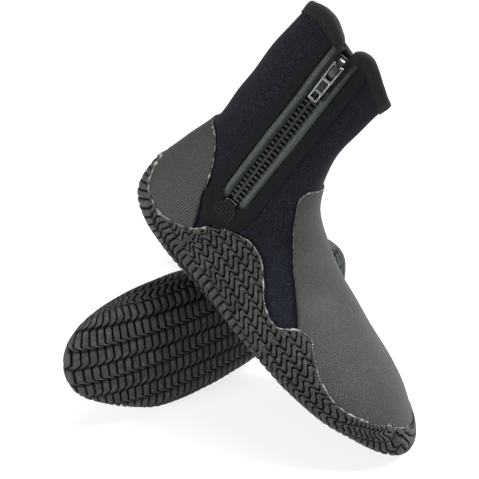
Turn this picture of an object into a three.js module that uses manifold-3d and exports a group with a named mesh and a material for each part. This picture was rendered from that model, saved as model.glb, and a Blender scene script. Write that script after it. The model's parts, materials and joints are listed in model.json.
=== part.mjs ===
// A pair of zipped neoprene boots. Millimetres, +Z up, floor at Z = 0.
// Each boot is drawn in its own frame: +X from heel to toe, +Z up the shaft, -Y the inner (zip) side.
// The right boot is the left one mirrored. It lies on its outer side and the left boot leans on it.
import * as THREE from 'three';
import Module from 'manifold-3d';
import { ConvexHull } from 'three/addons/math/ConvexHull.js';
import { mergeVertices } from 'three/addons/utils/BufferGeometryUtils.js';

const wasm = await Module();
wasm.setup();

// ---------------------------------------------------------------- driving sizes
const upperLength = 290;        // back of the heel to the tip of the toe, over the neoprene
const ballWidth = 102;          // widest part of the forefoot, over the neoprene
const shaftHeight = 201.5;      // plantar level to the collar rim, at the middle of the rim
const rimTilt = 0.25;           // the rim stands higher on the zip side: rise per mm across

const gap = 0.3;                // clearance between glued or sewn layers
const neoprene = 5;             // thickness of the foam of the upper
const overlay = 1.5;            // rubberised twill over the heel and the vamp
const facing = 1.2;             // woven band that frames the zip
const facingReach = 19.5;       // from the zip's middle to the band's outer edge
const gusset = 1.5;             // water flap behind the zip
const gussetReach = 20;
const binding = 0.8;            // folded tape over the collar rim
const bindingHeight = 9.5;
const soleSide = 2.3;           // outsole rubber where it wraps up the sides
const soleBottom = 3.9;         // outsole rubber under the foot
const soleFlat = 0.8;           // depth of the flat worn into the lowest part of the outsole
const footbed = 4;              // loose insole inside the boot
const footbedPlay = 0.7;
const strobelRise = 6;          // how far the bottom panel turns up the sides

const zipSlot = 11;             // half width of the slot that the zip closes
const faceSlot = zipSlot + 0.5; // half width of the opening in the band
const toothPitch = 3.6;
const toothWidth = 1.5;
const chainHalf = 4.2;          // half width of the closed chain
const chainDepth = 3.4;
const chainTop = 9;             // below the zip's upper end, where the first tooth starts
const chainLength = 118;
const tapeHalf = 10.7;
const tapeThickness = 1;
const sliderWidth = 12.5;
const sliderLength = 20;
const sliderPlate = 1.3;
const sliderStart = 3.2;        // below the zip's upper end
const pullWidth = 7;
const pullLength = 28;
const pullThickness = 1.4;
const patchRadius = 8.8;
const patchThickness = 0.5;

const sectionSides = 24;        // facets round the boot
const restGap = 0.3;            // clearance where the left boot touches the right one

// ---------------------------------------------------------------- the shape of the foot
const lengthScale = upperLength / 290;
const widthScale = ballWidth / 102;
const ankleLevel = 100;
const shaftScale = (shaftHeight - ankleLevel) / (201.5 - ankleLevel);
const rise = (z) => (z > ankleLevel ? ankleLevel + (z - ankleLevel) * shaftScale : z);

// Sections from the collar down the shaft, round the heel and forward to the toe:
// dorsal x, z; plantar x, z; inner and outer half widths; share of the way at which the section is
// widest; roundness of its upper and lower halves; sideways shift; lean of the section to the zip side
const sections = [
  [85.3, 201.5, -0.6, 201.5, 24, 24, 0.5, 2.1, 2.1, 0, 1],
  [83.5, 173.4, -0.2, 170.3, 26.5, 29, 0.5, 2.1, 2.1, 0, 0.6],
  [83.7, 145.2, 2.1, 137, 29, 33, 0.5, 2.1, 2.1, 0, 0.25],
  [89.9, 122.6, 2.7, 104.8, 31.5, 34.5, 0.5, 2.1, 2.1, 0, 0],
  [102, 106.3, -4, 71.7, 34, 36, 0.52, 2.1, 2.2, 0, 0],
  [114, 97.1, -8, 40.6, 35.5, 36.5, 0.56, 2.1, 2.4, 0, 0],
  [126, 90.7, 2, 15.7, 35.5, 36.5, 0.62, 2.1, 2.6, 0, 0],
  [140, 84.2, 38, 6, 36, 38, 0.68, 2.1, 2.9, -1, 0],
  [156, 78.2, 84, 4.8, 38.5, 42, 0.72, 2, 3, -1, 0],
  [176, 71.8, 130, 4, 46, 49, 0.74, 2, 3, 0, 0],
  [200, 64.1, 176, 3.5, 50.5, 51.5, 0.74, 2, 3, 0, 0],
  [226, 57.4, 214, 6, 49.5, 50.5, 0.72, 2, 2.8, -0.4, 0],
  [248, 50.8, 242, 10.7, 41, 42, 0.68, 2, 2.6, -2.4, 0],
  [265, 42.6, 262, 15.2, 32, 32, 0.62, 2, 2.4, -4.4, 0],
  [276, 36.7, 275, 19.3, 22, 22, 0.58, 2, 2.2, -4.8, 0],
  [282, 31.3, 282, 22.9, 10, 10, 0.5, 2, 2, -5.4, 0],
];

function sectionPoint([fx, fz, bx, bz, inner, outer, widest, upperPower, lowerPower, shift, lean], turn) {
  const c = Math.cos(turn);
  const s = Math.sin(turn);
  const power = c >= 0 ? upperPower : lowerPower;
  const along = Math.abs(c) ** (2 / power);
  const across = Math.abs(s) ** (2 / power);
  const share = c >= 0 ? widest * (1 - along) : widest + (1 - widest) * along;
  const y = (shift + (s >= 0 ? outer : -inner) * across) * widthScale;
  const x = (fx + (bx - fx) * share) * lengthScale;
  const z = rise(fz + (bz - fz) * share) - rimTilt * lean * y;
  return new THREE.Vector3(x, y, z);
}

// Rings of the outer skin, with one more ring above the rim so that every layer can be cut off level
const rimRoom = 14;
const tipRoom = 3;
const skin = sections.map((section) =>
  Array.from({ length: sectionSides }, (_, j) => sectionPoint(section, (j / sectionSides) * 2 * Math.PI)));
skin.unshift(skin[0].map((p, j) => {
  const slope = p.clone().sub(skin[1][j]);
  return p.clone().addScaledVector(slope, rimRoom / slope.z);
}));

function skinNormal(i, j) {
  const before = skin[Math.max(i - 1, 0)][j];
  const after = skin[Math.min(i + 1, skin.length - 1)][j];
  const left = skin[i][(j + sectionSides - 1) % sectionSides];
  const right = skin[i][(j + 1) % sectionSides];
  return after.clone().sub(before).cross(right.clone().sub(left)).normalize();
}

const outward = Math.sign(skinNormal(2, 0).x);
const normals = skin.map((ring, i) => ring.map((_, j) => skinNormal(i, j).multiplyScalar(outward)));

// ---------------------------------------------------------------- solids
function toSolid(geometry) {
  const bare = geometry.clone();
  bare.deleteAttribute('normal');
  bare.deleteAttribute('uv');
  const merged = mergeVertices(bare, 1e-4);
  return new wasm.Manifold(new wasm.Mesh({
    numProp: 3,
    vertProperties: new Float32Array(merged.attributes.position.array),
    triVerts: new Uint32Array(merged.index.array),
  }));
}

function toGeometry(solid) {
  const mesh = solid.getMesh();
  const geometry = new THREE.BufferGeometry();
  geometry.setAttribute('position', new THREE.BufferAttribute(new Float32Array(mesh.vertProperties), 3));
  geometry.setIndex(new THREE.BufferAttribute(new Uint32Array(mesh.triVerts), 1));
  geometry.computeVertexNormals();
  return geometry;
}

// The whole foot and shaft as one closed solid, its face moved out from the skin by offset(normal).
// An inner face stops one section short, because the tip of the toe is thinner than the foam.
function footSolid(offset) {
  const used = offset(normals[0][0]) < -tipRoom ? skin.slice(0, -1) : skin;
  const rings = used.map((ring, i) => ring.map((p, j) => {
    const n = normals[i][j];
    return p.clone().addScaledVector(n, offset(n));
  }));
  const points = rings.flat();
  const middle = (ring) => ring.reduce((sum, p) => sum.add(p), new THREE.Vector3()).divideScalar(ring.length);
  const top = points.push(middle(rings[0])) - 1;
  const toe = points.push(middle(rings.at(-1))) - 1;
  const index = [];
  const last = (rings.length - 1) * sectionSides;
  for (let j = 0; j < sectionSides; j += 1) {
    const k = (j + 1) % sectionSides;
    index.push(top, k, j);
    index.push(toe, last + j, last + k);
    for (let i = 0; i < rings.length - 1; i += 1) {
      const a = i * sectionSides;
      const b = a + sectionSides;
      index.push(a + j, a + k, b + k, a + j, b + k, b + j);
    }
  }
  if (outward > 0) index.reverse();
  const geometry = new THREE.BufferGeometry().setFromPoints(points);
  geometry.setIndex(index);
  return toSolid(geometry);
}

const footCache = new Map();
function foot(distance) {
  if (!footCache.has(distance)) footCache.set(distance, footSolid(() => distance));
  return footCache.get(distance);
}

// A layer between two distances from the skin
const layer = (outerFace, innerFace) => foot(outerFace).subtract(foot(innerFace));

// A side view outline [x, z] drawn across the boot from y = from to y = to
const across = 90;
function sidePrism(outline, from = -across, to = across) {
  const shape = new THREE.Shape(outline.map(([x, z]) => new THREE.Vector2(x, z)));
  const geometry = new THREE.ExtrudeGeometry(shape, { depth: to - from, bevelEnabled: false });
  geometry.rotateX(Math.PI / 2);
  geometry.translate(0, to, 0);
  return toSolid(geometry);
}

function smooth(points, count) {
  const curve = new THREE.SplineCurve(points.map(([x, z]) => new THREE.Vector2(x, z)));
  return curve.getPoints(count).map((p) => [p.x, p.y]);
}

// Everything below the rim plane raised by height
function belowRim(height) {
  const rim = (y) => shaftHeight - rimTilt * y + height;
  const shape = new THREE.Shape([
    new THREE.Vector2(-across, -60), new THREE.Vector2(across, -60),
    new THREE.Vector2(across, rim(across)), new THREE.Vector2(-across, rim(-across)),
  ]);
  const geometry = new THREE.ExtrudeGeometry(shape, { depth: 2 * upperLength, bevelEnabled: false });
  geometry.rotateX(Math.PI / 2);
  geometry.rotateZ(Math.PI / 2);
  geometry.translate(-upperLength / 2, 0, 0);
  return toSolid(geometry);
}

// ---------------------------------------------------------------- lines on the boot, [x, z]
const bottomLine = [[-20, 26], [2, 15.7], [38, 6], [84, 4.8], [130, 4], [176, 3.5], [214, 6], [242, 10.7],
  [262, 15.2], [275, 19.3], [310, 31]].map(([x, z]) => [x * lengthScale, z]);

// Upper edge of the outsole: it climbs the arch and the ball of the foot on the zip side
const innerSoleLine = [[-14, 56], [-5, 50], [3.4, 34], [23, 28], [40, 33], [50, 39], [58, 49.5], [69, 57.5],
  [83, 62], [98, 59], [109, 51.5], [120, 42], [133, 35], [144, 34.8], [154, 43], [164, 46], [175, 40.5],
  [190, 32.5], [212, 28], [236, 32], [258, 38.5], [285, 41]].map(([x, z]) => [x * lengthScale, z]);
const outerSoleLine = [[-14, 56], [-5, 50], [3.4, 34], [25, 29], [55, 31], [85, 38], [112, 36], [138, 31],
  [165, 37], [190, 32], [215, 28.5], [238, 32], [258, 38.5], [285, 41]].map(([x, z]) => [x * lengthScale, z]);

const heelLine = [[-2, 101], [13.4, 98.5], [20, 94.5], [28, 85.5], [34.7, 73.2], [40.7, 59.8], [49.2, 43],
  [58, 22], [64, 0]].map(([x, z]) => [x * lengthScale, z]);
const vampLine = [[104, 122], [90, 116.5], [87.5, 110], [88.7, 105.5], [94.2, 97], [103, 86], [119.3, 70.5],
  [137, 57], [153, 45.5], [170, 30], [182, 0]].map(([x, z]) => [x * lengthScale, z]);

const below = (line, lift, floor = -60) =>
  [...line.map(([x, z]) => [x, z + lift]), [line.at(-1)[0], floor], [line[0][0], floor]];

const soleLineSteps = 34;
function soleRegion(lift) {
  const inner = sidePrism(below(smooth(innerSoleLine, soleLineSteps), lift), -across, 0);
  const outer = sidePrism(below(smooth(outerSoleLine, soleLineSteps), lift), 0, across);
  return inner.add(outer);
}

// ---------------------------------------------------------------- the zip's own frame
// Its origin is the zip's upper end on the skin: +X forward, +Y up the zip, +Z out of the boot.
const zipTop = new THREE.Vector3(42 * lengthScale, -24.2 * widthScale, rise(203));
const zipFoot = new THREE.Vector3(57 * lengthScale, -35.4 * widthScale, 66);
const zipUp = zipTop.clone().sub(zipFoot).normalize();
const zipTurn = 0.06;           // the zip faces a little forward, in radians
const zipOut = new THREE.Vector3(0, -1, 0).addScaledVector(zipUp, zipUp.y).normalize()
  .applyAxisAngle(zipUp, zipTurn);
const zipForward = zipUp.clone().cross(zipOut).normalize();
const zipFrame = new THREE.Matrix4().makeBasis(zipForward, zipUp, zipOut).setPosition(zipTop);
const zipEnd = -(chainTop + chainLength);

function plate(outline, from, to, holes = []) {
  const shape = new THREE.Shape(outline.map(([x, y]) => new THREE.Vector2(x, y)));
  for (const hole of holes) shape.holes.push(new THREE.Path(hole.map(([x, y]) => new THREE.Vector2(x, y))));
  const geometry = new THREE.ExtrudeGeometry(shape, { depth: to - from, bevelEnabled: false });
  geometry.translate(0, 0, from);
  return toSolid(geometry);
}

const rectangle = (x0, y0, x1, y1) => [[x0, y0], [x1, y0], [x1, y1], [x0, y1]];

// A tongue that is open at the top and round at its foot
const tongueSteps = 14;
function tongue(half, top, foot) {
  const arc = Array.from({ length: tongueSteps + 1 }, (_, k) => {
    const turn = Math.PI * (1 + k / tongueSteps);
    return [half * Math.cos(turn), foot + half + half * Math.sin(turn)];
  });
  return [[half, top], [-half, top], ...arc];
}

const inBoot = (solid) => toSolid(toGeometry(solid).applyMatrix4(zipFrame));
const zipRegion = (outline) => inBoot(plate(outline, -16, 22));
const slotFoot = zipEnd - 8;
const faceSlotFoot = zipEnd - 5;

// ---------------------------------------------------------------- the parts of the upper
const slotCut = zipRegion(rectangle(-zipSlot, slotFoot, zipSlot, 40));
const sideSplit = (side, shift) => {
  const slope = (zipTop.x - zipFoot.x) / (zipTop.z - zipFoot.z);
  const at = (z) => zipTop.x + slope * (z - zipTop.z) + shift;
  const far = side * 2 * upperLength;
  return sidePrism([[at(-80), -80], [far, -80], [far, 320], [at(320), 320]]);
};
const neopreneShell = layer(0, -neoprene).intersect(belowRim(0));

function bottomPanel() {
  return neopreneShell.intersect(sidePrism(below(bottomLine, strobelRise)));
}

// end is 1 for the front, -1 for the rear; side is 1 for the outer side, -1 for the zip side
function upperPanel(end, side) {
  const near = side < 0 ? -across : gap / 2;
  const half = sidePrism(rectangle(-upperLength, -80, 2 * upperLength, 320), near, near + across - gap / 2);
  return neopreneShell.subtract(sidePrism(below(bottomLine, strobelRise + gap)))
    .subtract(slotCut).intersect(sideSplit(end, end * gap / 2)).intersect(half);
}

function overlayPiece(region) {
  return layer(gap + overlay, gap).intersect(sidePrism(region)).subtract(soleRegion(gap));
}

const bandRegion = (room) => zipRegion(tongue(facingReach + room, 40, zipEnd - 25 - room));

function heelOverlay() {
  return overlayPiece([...smooth(heelLine, 16), [-60, 0], [-60, 101]]).subtract(bandRegion(gap));
}

function vampOverlay() {
  return overlayPiece([...smooth(vampLine, 24), [340, 0], [340, 160], [104, 160]]);
}

function outsole() {
  const outer = footSolid((n) => gap + soleSide + (soleBottom - soleSide) * Math.max(0, -n.z));
  const rubber = outer.subtract(foot(gap)).intersect(soleRegion(0));
  const ground = rubber.boundingBox().min[2] + soleFlat;
  return rubber.intersect(sidePrism(rectangle(-upperLength, ground, 2 * upperLength, shaftHeight)));
}

function insole() {
  const inside = foot(-neoprene - footbedPlay);
  return inside.intersect(foot(-neoprene)).intersect(
    sidePrism(below(bottomLine, neoprene + footbedPlay + footbed)));
}

function collarBinding() {
  const wrapped = layer(gap, -neoprene - gap).intersect(belowRim(gap));
  return layer(gap + binding, -neoprene - gap - binding).intersect(belowRim(gap + binding))
    .subtract(belowRim(-bindingHeight)).subtract(wrapped)
    .subtract(zipRegion(tongue(faceSlot, 40, -60)));
}

const underBinding = belowRim(-bindingHeight - gap);

function zipBand() {
  return layer(gap + facing, gap).intersect(bandRegion(0))
    .subtract(zipRegion(tongue(faceSlot, 60, faceSlotFoot)))
    .subtract(soleRegion(gap)).intersect(underBinding);
}

function waterFlap() {
  return layer(-neoprene - gap, -neoprene - gap - gusset)
    .intersect(zipRegion(tongue(gussetReach, 40, zipEnd - 16))).intersect(underBinding);
}

function zipPatch() {
  const disc = Array.from({ length: 20 }, (_, k) => {
    const turn = (k / 20) * 2 * Math.PI;
    return [patchRadius * Math.cos(turn), zipEnd - patchRadius - 1.2 + patchRadius * Math.sin(turn)];
  });
  const inner = 2 * gap + facing;
  return layer(inner + patchThickness, inner).intersect(zipRegion(disc));
}

// ---------------------------------------------------------------- the parts of the zip, in its frame
const chainFace = 0.4;          // the chain's outer face, out from the skin
const chainBack = chainFace - chainDepth;
const tapeFace = -2;
const mirrorX = (outline, side) => (side > 0 ? outline : outline.map(([x, y]) => [-x, y]).reverse());

function zipTape(side) {
  const strip = rectangle(chainHalf + gap, zipEnd - 6, tapeHalf, -0.5);
  return plate(mirrorX(strip, side), tapeFace - tapeThickness, tapeFace);
}

// One half of the chain: a bead with teeth that reach past the middle between those of the other half
function zipTeeth(side) {
  const reach = -1.2;
  const bead = 1.5;
  const first = -chainTop - (side > 0 ? 0 : toothPitch / 2);
  const outline = [[chainHalf, zipEnd], [chainHalf, -chainTop], [bead, -chainTop]];
  for (let y = first - 0.3; y - toothWidth > zipEnd + 0.2; y -= toothPitch) {
    outline.push([bead, y], [reach, y], [reach, y - toothWidth], [bead, y - toothWidth]);
  }
  outline.push([bead, zipEnd]);
  return plate(mirrorX(outline, side), chainBack, chainFace);
}

const plateFace = chainFace + gap + sliderPlate;
const bridgeStart = sliderStart + 3.8;
const bridgeEnd = bridgeStart + 12;
const pivotY = -(bridgeStart + 3.2);
const pivotZ = plateFace + 1.7;

function zipSlider() {
  const top = -sliderStart;
  const foot = top - sliderLength;
  const half = sliderWidth / 2;
  const shield = [[half - 1.5, top], [-half + 1.5, top], [-half, top - 2], [-half, top - 11],
    [-half + 1, foot + 1], [-half + 2.2, foot], [half - 2.2, foot], [half - 1, foot + 1], [half, top - 11],
    [half, top - 2]];
  const back = chainBack - gap;
  const flange = (side) => plate(
    mirrorX(rectangle(chainHalf + gap + 0.1, foot + 2.5, half - 1, top - 2.5), side),
    tapeFace + gap, chainFace + gap + 0.1);
  const wedge = plate(rectangle(-1.6, -chainTop + gap + 0.5, 1.6, top), back - 0.1, chainFace + gap + 0.1);
  const arch = new THREE.Shape([[bridgeStart, plateFace - 0.2], [bridgeStart, plateFace + 2.9],
    [bridgeStart + 1.4, pivotZ + 2.6], [bridgeEnd - 1.8, pivotZ + 2.6], [bridgeEnd, plateFace + 2.6],
    [bridgeEnd, plateFace - 0.2], [bridgeEnd - 1.8, plateFace - 0.2], [bridgeEnd - 1.8, plateFace + 2.1],
    [bridgeEnd - 2.6, pivotZ + 1.3], [bridgeStart + 2.4, pivotZ + 1.3], [bridgeStart + 1.8, plateFace + 2.1],
    [bridgeStart + 1.8, plateFace - 0.2]].map(([y, z]) => new THREE.Vector2(-y, z)));
  const bridge = new THREE.ExtrudeGeometry(arch, { depth: 4.4, bevelEnabled: false });
  bridge.translate(0, 0, -2.2);
  bridge.applyMatrix4(new THREE.Matrix4().makeBasis(
    new THREE.Vector3(0, 1, 0), new THREE.Vector3(0, 0, 1), new THREE.Vector3(1, 0, 0)));
  return plate(shield, chainFace + gap, plateFace)
    .add(plate(shield, back - sliderPlate, back))
    .add(wedge).add(flange(1)).add(flange(-1)).add(toSolid(bridge));
}

function zipPull() {
  const top = pivotY + 0.8;
  const foot = top - pullLength;
  const half = pullWidth / 2;
  const edge = [[half - 0.8, top], [-half + 0.8, top], [-half, top - 1], [-half, foot + 1.6],
    [-half + 1.6, foot], [half - 1.6, foot], [half, foot + 1.6], [half, top - 1]];
  const bridgeHole = rectangle(-2.7, pivotY - 10.8, 2.7, pivotY - 0.8);
  const thumbHole = rectangle(-1.8, foot + 2, 1.8, foot + 5);
  const panel = plate(rectangle(-2.3, foot + 6.4, 2.3, pivotY - 12.4), pivotZ + 0.3, pivotZ + 3);
  return plate(edge, pivotZ - pullThickness / 2, pivotZ + pullThickness / 2, [bridgeHole, thumbHole])
    .subtract(panel);
}

function topStop(side) {
  return plate(mirrorX(rectangle(chainHalf + gap, -2.6, chainHalf + 2.8, -0.6), side), tapeFace + gap, 0.6);
}

function bottomStop() {
  return plate(rectangle(-chainHalf, zipEnd - gap - 3, chainHalf, zipEnd - gap), chainBack, chainFace + 0.2);
}

// ---------------------------------------------------------------- materials and one boot
const finish = (color, roughness, metalness = 0) =>
  new THREE.MeshStandardMaterial({ color, roughness, metalness });
const rubber = finish(0x4a4d49, 0.75);
const twill = finish(0x6a6c66, 0.7);
const jersey = finish(0x2b2c33, 0.9);
const webbing = finish(0x232427, 0.85);
const foam = finish(0x1c1d20, 0.9);
const moulded = finish(0x3a3d3c, 0.5);
const gunmetal = finish(0x55585c, 0.35, 0.8);

function named(name, solid, material) {
  const mesh = new THREE.Mesh(toGeometry(solid), material);
  mesh.name = name;
  return mesh;
}

function makeBoot(side) {
  const boot = new THREE.Group();
  boot.add(
    named(`${side}_outsole`, outsole(), rubber),
    named(`${side}_bottom_panel`, bottomPanel(), jersey),
    named(`${side}_footbed`, insole(), foam),
    named(`${side}_front_inner_panel`, upperPanel(1, -1), jersey),
    named(`${side}_front_outer_panel`, upperPanel(1, 1), jersey),
    named(`${side}_rear_inner_panel`, upperPanel(-1, -1), jersey),
    named(`${side}_rear_outer_panel`, upperPanel(-1, 1), jersey),
    named(`${side}_vamp_overlay`, vampOverlay(), twill),
    named(`${side}_heel_overlay`, heelOverlay(), twill),
    named(`${side}_collar_binding`, collarBinding(), webbing),
    named(`${side}_zip_band`, zipBand(), webbing),
    named(`${side}_zip_patch`, zipPatch(), webbing),
    named(`${side}_water_flap`, waterFlap(), foam),
  );
  const zip = new THREE.Group();
  zip.applyMatrix4(zipFrame);
  zip.add(
    named(`${side}_zip_tape_front`, zipTape(1), webbing),
    named(`${side}_zip_tape_rear`, zipTape(-1), webbing),
    named(`${side}_zip_teeth_front`, zipTeeth(1), moulded),
    named(`${side}_zip_teeth_rear`, zipTeeth(-1), moulded),
    named(`${side}_zip_slider`, zipSlider(), gunmetal),
    named(`${side}_zip_pull`, zipPull(), gunmetal),
    named(`${side}_zip_top_stop_front`, topStop(1), gunmetal),
    named(`${side}_zip_top_stop_rear`, topStop(-1), gunmetal),
    named(`${side}_zip_bottom_stop`, bottomStop(), gunmetal),
  );
  boot.add(zip);
  return boot;
}

// ---------------------------------------------------------------- how the pair lies
const degree = Math.PI / 180;
const rightHeading = 218.2 * degree;      // the lying boot, turned about the vertical
const rightPlace = new THREE.Vector2(147.4, 21.8);
const leftHeading = -26.1 * degree;
const leftRoll = -13.4 * degree;          // lean about the boot's own length
const leftFlattest = 20 * degree;
const leftSteepest = 60 * degree;
const leftToe = new THREE.Vector2(156.3, -145.7);   // where the leaning boot's toe meets the floor
const toePoint = new THREE.Vector3(275 * lengthScale, -5, 15);
const leanSteps = 14;

// Everything on the outside of a boot as one solid
const outside = toGeometry([outsole(), heelOverlay(), vampOverlay(), zipBand(), zipPatch(), collarBinding(),
  upperPanel(1, -1), upperPanel(1, 1), upperPanel(-1, -1), upperPanel(-1, 1),
  inBoot(zipSlider()), inBoot(zipPull())]
  .reduce((whole, piece) => whole.add(piece)));
const mirrored = new THREE.Matrix4().makeScale(1, -1, 1);

function lowest(matrix) {
  const positions = outside.attributes.position;
  const p = new THREE.Vector3();
  let low = Infinity;
  for (let i = 0; i < positions.count; i += 1) {
    low = Math.min(low, p.fromBufferAttribute(positions, i).applyMatrix4(matrix).z);
  }
  return low;
}

function moved(geometry, matrix) {
  const copy = geometry.clone().applyMatrix4(matrix);
  if (matrix.determinant() < 0) copy.index.array.reverse();
  return copy;
}

function onFloor(matrix) {
  return new THREE.Matrix4().makeTranslation(0, 0, -lowest(matrix)).multiply(matrix);
}

// The way out of the side that a boot lies on: of the facets of its hull on the outer side,
// the one that lies under its middle
function restingSide() {
  const positions = outside.attributes.position;
  const points = Array.from({ length: positions.count }, (_, i) =>
    new THREE.Vector3().fromBufferAttribute(positions, i));
  const middle = points.reduce((sum, p) => sum.add(p), new THREE.Vector3()).divideScalar(points.length);
  const facets = new ConvexHull().setFromPoints(points).faces.filter((face) => face.normal.y > 0.8);
  const misses = facets.map((face) => {
    const corners = [face.getEdge(0), face.getEdge(1), face.getEdge(2)].map((edge) => edge.head().point);
    const under = middle.clone().addScaledVector(face.normal, -face.distanceToPoint(middle));
    return new THREE.Triangle(...corners).closestPointToPoint(under, new THREE.Vector3()).distanceTo(under);
  });
  return facets[misses.indexOf(Math.min(...misses))].normal;
}

function lyingPlace() {
  const up = restingSide().clone().applyMatrix4(mirrored).negate();
  const ahead = new THREE.Vector3(1, 0, 0).addScaledVector(up, -up.x).normalize();
  const laid = new THREE.Matrix4().makeBasis(ahead, up.clone().cross(ahead), up).transpose();
  const place = new THREE.Matrix4().makeTranslation(rightPlace.x, rightPlace.y, 0)
    .multiply(new THREE.Matrix4().makeRotationZ(rightHeading)).multiply(laid).multiply(mirrored);
  return onFloor(place);
}

function leaningPlace(pitch) {
  const angles = new THREE.Euler(leftRoll, pitch, leftHeading, 'ZYX');
  const turn = new THREE.Matrix4().makeRotationFromEuler(angles);
  const place = new THREE.Matrix4().makeTranslation(leftToe.x, leftToe.y, 0)
    .multiply(turn).multiply(new THREE.Matrix4().makeTranslation(toePoint.clone().negate()));
  return onFloor(place);
}

// The left boot stands on its toe and tips back until its sole rests on the lying boot
function restingPlace(lying) {
  const support = toSolid(moved(outside, lying));
  const lowered = new THREE.Matrix4().makeTranslation(0, 0, -restGap);
  const touches = (pitch) => {
    const place = lowered.clone().multiply(leaningPlace(pitch));
    return toSolid(moved(outside, place)).intersect(support).volume() > 1e-3;
  };
  let clear = leftSteepest;
  let low = leftFlattest;
  for (let step = 0; step < leanSteps; step += 1) {
    const middle = (clear + low) / 2;
    if (touches(middle)) low = middle;
    else clear = middle;
  }
  return leaningPlace(clear);
}

const rightBoot = makeBoot('right');
const lying = lyingPlace();
rightBoot.applyMatrix4(lying);
const leftBoot = makeBoot('left');
leftBoot.applyMatrix4(restingPlace(lying));

const pair = new THREE.Group();
pair.add(rightBoot, leftBoot);
pair.updateMatrixWorld(true);
const box = new THREE.Box3().setFromObject(pair, true);
const centre = box.getCenter(new THREE.Vector3());
pair.position.set(-centre.x, -centre.y, -box.min.z);

export default pair;
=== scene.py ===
"""A pair of zipped neoprene boots: one stands on its toe and leans on the other, which lies on its side.

Every layer is drawn in the boot's own frame, in millimetres (+X heel to toe, +Z up the shaft, -Y the
zip side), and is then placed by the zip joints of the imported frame. The right boot is the mirror image.
"""
import json
import math

import bpy
import numpy as np
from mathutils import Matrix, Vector
from mathutils.bvhtree import BVHTree


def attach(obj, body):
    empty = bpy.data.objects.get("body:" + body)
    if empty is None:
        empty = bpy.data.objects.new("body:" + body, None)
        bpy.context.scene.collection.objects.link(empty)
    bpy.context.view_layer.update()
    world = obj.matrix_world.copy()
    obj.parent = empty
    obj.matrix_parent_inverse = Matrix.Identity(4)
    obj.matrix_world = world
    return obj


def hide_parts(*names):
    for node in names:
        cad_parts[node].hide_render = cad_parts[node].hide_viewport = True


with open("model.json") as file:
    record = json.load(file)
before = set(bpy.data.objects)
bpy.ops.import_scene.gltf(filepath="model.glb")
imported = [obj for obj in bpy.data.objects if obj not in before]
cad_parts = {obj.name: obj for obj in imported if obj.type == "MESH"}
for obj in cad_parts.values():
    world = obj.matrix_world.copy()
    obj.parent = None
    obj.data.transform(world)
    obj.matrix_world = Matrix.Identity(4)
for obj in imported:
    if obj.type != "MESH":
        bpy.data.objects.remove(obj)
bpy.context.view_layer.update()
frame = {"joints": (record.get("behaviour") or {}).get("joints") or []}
sides = ("left", "right")

# ---------------------------------------------------------------- camera
view_target = Vector((-0.00189, -0.00359, 0.09987))
view_distance = 0.65777
view_elevation = math.radians(30.52)
view_lens = 55.88


def set_camera():
    """Looks down at the pair from the front, through a fairly long lens."""
    data = bpy.data.cameras.new("studio_camera")
    data.lens = view_lens
    camera = bpy.data.objects.new("studio_camera", data)
    away = Vector((0, -math.cos(view_elevation), math.sin(view_elevation)))
    camera.location = view_target + away * view_distance
    camera.rotation_euler = (-away).to_track_quat("-Z", "Y").to_euler()
    bpy.context.scene.collection.objects.link(camera)
    bpy.context.scene.camera = camera


set_camera()

# ---------------------------------------------------------------- sizes of the boot, in millimetres
shaft_height = 201.5
rim_tilt = 0.25
gap = 0.3
neoprene = 5
overlay = 1.5
facing = 1.2
facing_reach = 19.5
binding_height = 9.5
sole_side = 2.3
sole_bottom = 3.9
footbed = 4
footbed_play = 0.7
strobel_rise = 6
zip_slot = 11
face_slot = zip_slot + 0.5
chain_top = 9
chain_length = 118
tooth_pitch = 3.6
patch_radius = 8.8
patch_weave = 2.1
pull_pivot = np.array([0, -10.2, 3.7])
zip_end = -(chain_top + chain_length)

# Sections from the collar down the shaft, round the heel and forward to the toe:
# dorsal x, z; plantar x, z; inner and outer half widths; share of the way at which the section is
# widest; roundness of its upper and lower halves; sideways shift; lean of the section to the zip side
sections = np.array([
    [85.3, 201.5, -0.6, 201.5, 24, 24, 0.5, 2.1, 2.1, 0, 1],
    [84.3, 173.4, -1, 170.3, 26.5, 29, 0.5, 2.1, 2.1, 0, 0.6],
    [86, 145.2, 0.8, 137, 29, 33, 0.5, 2.1, 2.1, 0, 0.25],
    [92, 122.6, 4, 104.8, 31.5, 34.5, 0.5, 2.1, 2.1, 0, 0],
    [102.5, 106.3, -2, 71.7, 34, 36, 0.52, 2.1, 2.2, 0, 0],
    [114, 97.1, -7, 40.6, 35.5, 36.5, 0.56, 2.1, 2.4, 0, 0],
    [126, 90.7, 2, 15.7, 35.5, 36.5, 0.62, 2.1, 2.6, 0, 0],
    [140, 84.2, 38, 6, 36, 38, 0.68, 2.1, 2.9, -1, 0],
    [156, 78.2, 84, 4.8, 38.5, 42, 0.72, 2, 3, -1, 0],
    [176, 71.8, 130, 4, 46, 49, 0.74, 2, 3, 0, 0],
    [200, 64.1, 176, 3.5, 50.5, 51.5, 0.74, 2, 3, 0, 0],
    [226, 57.4, 214, 6, 49.5, 50.5, 0.72, 2, 2.8, -0.4, 0],
    [248, 50.8, 242, 10.7, 41, 42, 0.68, 2, 2.6, -2.4, 0],
    [265, 42.6, 262, 15.2, 32, 32, 0.62, 2, 2.4, -4.4, 0],
    [276, 36.7, 275, 19.3, 22, 22, 0.58, 2, 2.2, -4.8, 0],
    [282, 31.3, 282, 22.9, 10, 10, 0.5, 2, 2, -5.4, 0],
    [283.4, 27.2, 283.4, 27, 0.4, 0.4, 0.5, 2, 2, -5.4, 0],
])

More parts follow.
